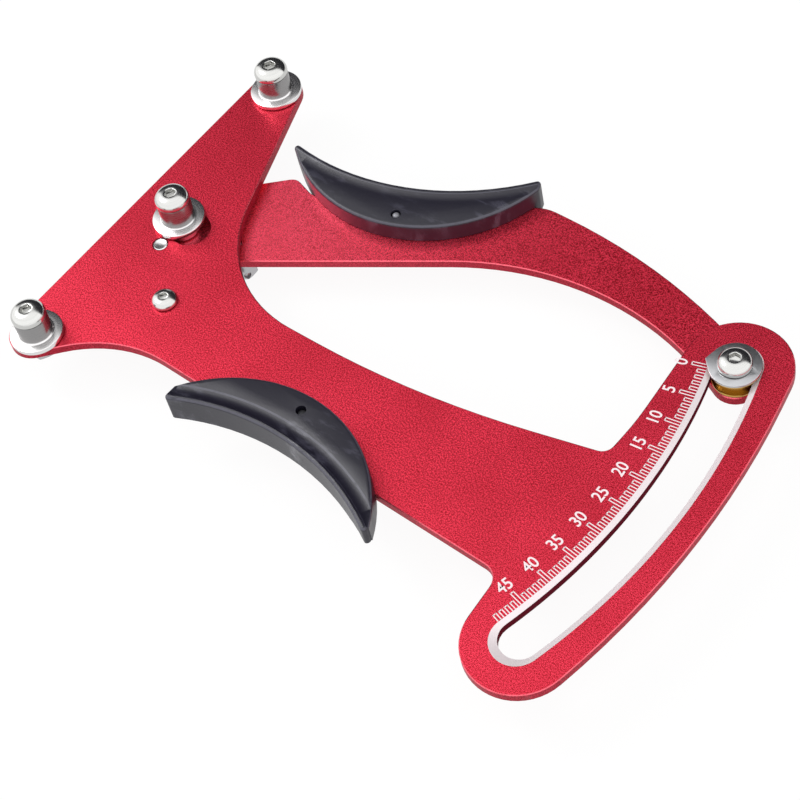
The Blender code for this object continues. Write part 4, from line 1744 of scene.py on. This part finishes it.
@dataclass(frozen=True)
class GripSide:
    """Where one grip's finger edge lies and how deep its band is."""

    name: str
    body: Body
    spot: Spot
    turn: float
    band_depth: float


@dataclass
class Grips:
    """The two dark grips with their fixings and the shallow band beside their finger edge."""

    lower: GripSide = GripSide("lower_grip", Body.FRAME, (0.08820, -0.04725), -3.2, 0.00028)
    upper: GripSide = GripSide("upper_grip", Body.ARM, (0.06011, 0.04269), 199.1, 0.00012)
    finger_radius: float = 0.0770
    band_near: float = 0.0016
    band_far: float = 0.0046
    band_segments: int = 720
    slope: float = 0.0005
    inner_share: float = 0.3
    pin_edge: float = 0.0001
    nib_gap: float = 0.00002
    nib_rise: float = 0.0011
    nib_radius: float = 0.00112
    nib_shares: tuple[Spot, ...] = ((1.0, 0.0), (1.0, 0.35), (0.86, 0.66), (0.5, 0.92), (0.0, 1.0))

    def band(self, piece: bpy.types.Object, side: GripSide) -> None:
        """Cut the shallow band that follows the finger edge.

        Args:
            piece: The grip.
            side: Which grip it is.
        """
        heading = math.radians(side.turn)
        centre = (side.spot[0] + self.finger_radius * math.sin(heading),
                  side.spot[1] - self.finger_radius * math.cos(heading))
        near, far = self.finger_radius + self.band_near, self.finger_radius + self.band_far
        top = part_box(side.name)[1].z
        floor, over = top - side.band_depth, top + OVERRUN
        reach = self.slope * (over - floor) / side.band_depth
        tool = lathe("band_tool", [(near, floor), (far, floor), (far + reach, over),
                                   (near - reach * self.inner_share, over)],
                     self.band_segments, closed=True)
        place(tool, Matrix.Translation((*centre, 0)))
        cut(piece, tool)

    def build(self, shelf: Shelf) -> None:
        """Make both grips with their pins, and the nib.

        Args:
            shelf: The finishes.
        """
        for side in (self.lower, self.upper):
            piece = copy_solid(side.name, side.name + "_skin")
            self.band(piece, side)
            settle(piece, 30)
            # Edges marked for lightening, partly worn and partly painted highlight.
            mark_rims(piece, 0.25, 0.97)
            dress(piece, shelf.black, side.body, Slot.GRIP, side.name)
            pin = side.name + "_pin"
            piece = copy_solid(pin, pin + "_fine")
            bevel(piece, self.pin_edge, 30)
            settle(piece, 30)
            dress(piece, shelf.oxide, side.body, Slot.BLACK, pin)
        self.nib(shelf)

    def nib(self, shelf: Shelf) -> None:
        """Make the pale domed end that shows in the upper grip's hole.

        Args:
            shelf: The finishes.
        """
        pin = self.upper.name + "_pin"
        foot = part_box(pin)[1].z + self.nib_gap
        profile = [(across * self.nib_radius, foot + up * self.nib_rise)
                   for across, up in self.nib_shares]
        piece = lathe("upper_grip_nib", profile, TOOL_SEGMENTS)
        stand(piece, pin, 50)
        dress(piece, shelf.nib, Body.ARM, Slot.BRIGHT)


@dataclass
class Studio:
    """The pale floor, the soft light and the camera."""

    floor_gap: float = 0.0001
    floor_size: float = 6.0
    floor_middle: float = 0.08
    floor_colour: Colour = (0.82, 0.82, 0.815, 1.0)
    floor_roughness: float = 0.9
    floor_white: float = 0.93
    bright_side: Point = (0.3, -1.0, 0.0)
    sky_edge: tuple[float, float] = (-0.565, -0.45)
    dim: Colour = (0.03, 0.03, 0.035, 1.0)
    bright: Colour = (1.48, 1.48, 1.48, 1.0)
    lamp_place: Point = (-0.45, -0.10, 0.60)
    lamp_aim: Point = (0.07, 0.0, 0.0)
    lamp_size: float = 0.24
    lamp_power: float = 2.0
    focal_pixels: float = 2084.1
    image_size: float = 800.0
    sensor: float = 36.0
    clip: tuple[float, float] = (0.01, 10.0)
    camera_place: Point = (0.363407, -0.235659, 0.446608)
    camera_right: Point = (0.779673, 0.606237, -0.156801)
    camera_up: Point = (-0.422135, 0.693812, 0.583462)

    def camera(self) -> None:
        """Make the camera at the photograph's angle."""
        data = bpy.data.cameras.new("camera")
        data.sensor_width = self.sensor
        data.lens = self.focal_pixels / self.image_size * self.sensor
        data.clip_start, data.clip_end = self.clip
        camera = add_object("camera", data)
        right, up = Vector(self.camera_right), Vector(self.camera_up)
        turn = Matrix((right, up, right.cross(up))).transposed().to_4x4()
        camera.matrix_world = Matrix.Translation(self.camera_place) @ turn
        bpy.context.scene.camera = camera

    def lamp(self) -> None:
        """Add the soft square lamp behind the upper post."""
        data = bpy.data.lights.new("far_lamp", "AREA")
        data.shape, data.size, data.energy = "SQUARE", self.lamp_size, self.lamp_power
        lamp = add_object("far_lamp", data)
        lamp.location = self.lamp_place
        aim = Vector(self.lamp_aim) - Vector(self.lamp_place)
        lamp.rotation_euler = aim.to_track_quat("-Z", "Y").to_euler()

    def pale_floor(self) -> bpy.types.Material:
        """The floor's material: pale, whitened where it is seen, with the shadow kept.

        Returns:
            The material.
        """
        material = bpy.data.materials.new("pale_floor")
        material.use_nodes = True
        tree = material.node_tree
        shader = tree.nodes["Principled BSDF"]
        shader.inputs["Base Color"].default_value = self.floor_colour
        shader.inputs["Roughness"].default_value = self.floor_roughness
        path = tree.nodes.new("ShaderNodeLightPath").outputs
        seen = math_node(tree, "MAXIMUM", path["Is Camera Ray"], path["Is Glossy Ray"])
        seen = math_node(tree, "MAXIMUM", seen, path["Is Transmission Ray"])
        glow = tree.nodes.new("ShaderNodeEmission")
        glow.inputs["Color"].default_value = WHITE
        mix = tree.nodes.new("ShaderNodeMixShader")
        tree.links.new(times(tree, seen, self.floor_white), mix.inputs[0])
        tree.links.new(shader.outputs[0], mix.inputs[1])
        tree.links.new(glow.outputs[0], mix.inputs[2])
        tree.links.new(mix.outputs[0], tree.nodes["Material Output"].inputs["Surface"])
        return material

    def sky(self) -> None:
        """The world: a soft studio, brighter on one side."""
        world = bpy.data.worlds.new("studio")
        bpy.context.scene.world = world
        world.use_nodes = True
        tree = world.node_tree
        side = tree.nodes.new("ShaderNodeVectorMath")
        side.operation = "DOT_PRODUCT"
        side.inputs[1].default_value = self.bright_side
        where = tree.nodes.new("ShaderNodeTexCoord").outputs["Generated"]
        tree.links.new(where, side.inputs[0])
        share = ramp_node(tree, side.outputs["Value"], self.sky_edge)
        background = tree.nodes["Background"]
        tree.links.new(mix_colours(tree, share, self.dim, self.bright),
                       background.inputs["Color"])
        background.inputs["Strength"].default_value = 1.0

    def build(self) -> None:
        """Make the floor, the world, the lamp and the camera."""
        deselect_all()
        low = CAD_BOX[0][2]
        bpy.ops.mesh.primitive_plane_add(size=self.floor_size,
                                         location=(self.floor_middle, 0, low - self.floor_gap))
        floor = bpy.context.object
        floor.name = "floor"
        floor.data.materials.append(self.pale_floor())
        self.sky()
        self.lamp()
        self.camera()
        bpy.context.scene.view_settings.view_transform = "Standard"


def main() -> None:
    """Build every sub-assembly in order."""
    logging.basicConfig(level=logging.INFO, format="%(name)s: %(message)s")
    shelf = Shelf(Effects())
    for assembly in (Plates(), SlotEdge(), Scale(), Posts(), Pointer(), Rings(), Linkage(), Grips()):
        assembly.build(shelf)
    Studio().build()


if __name__ == "__main__":
    main()
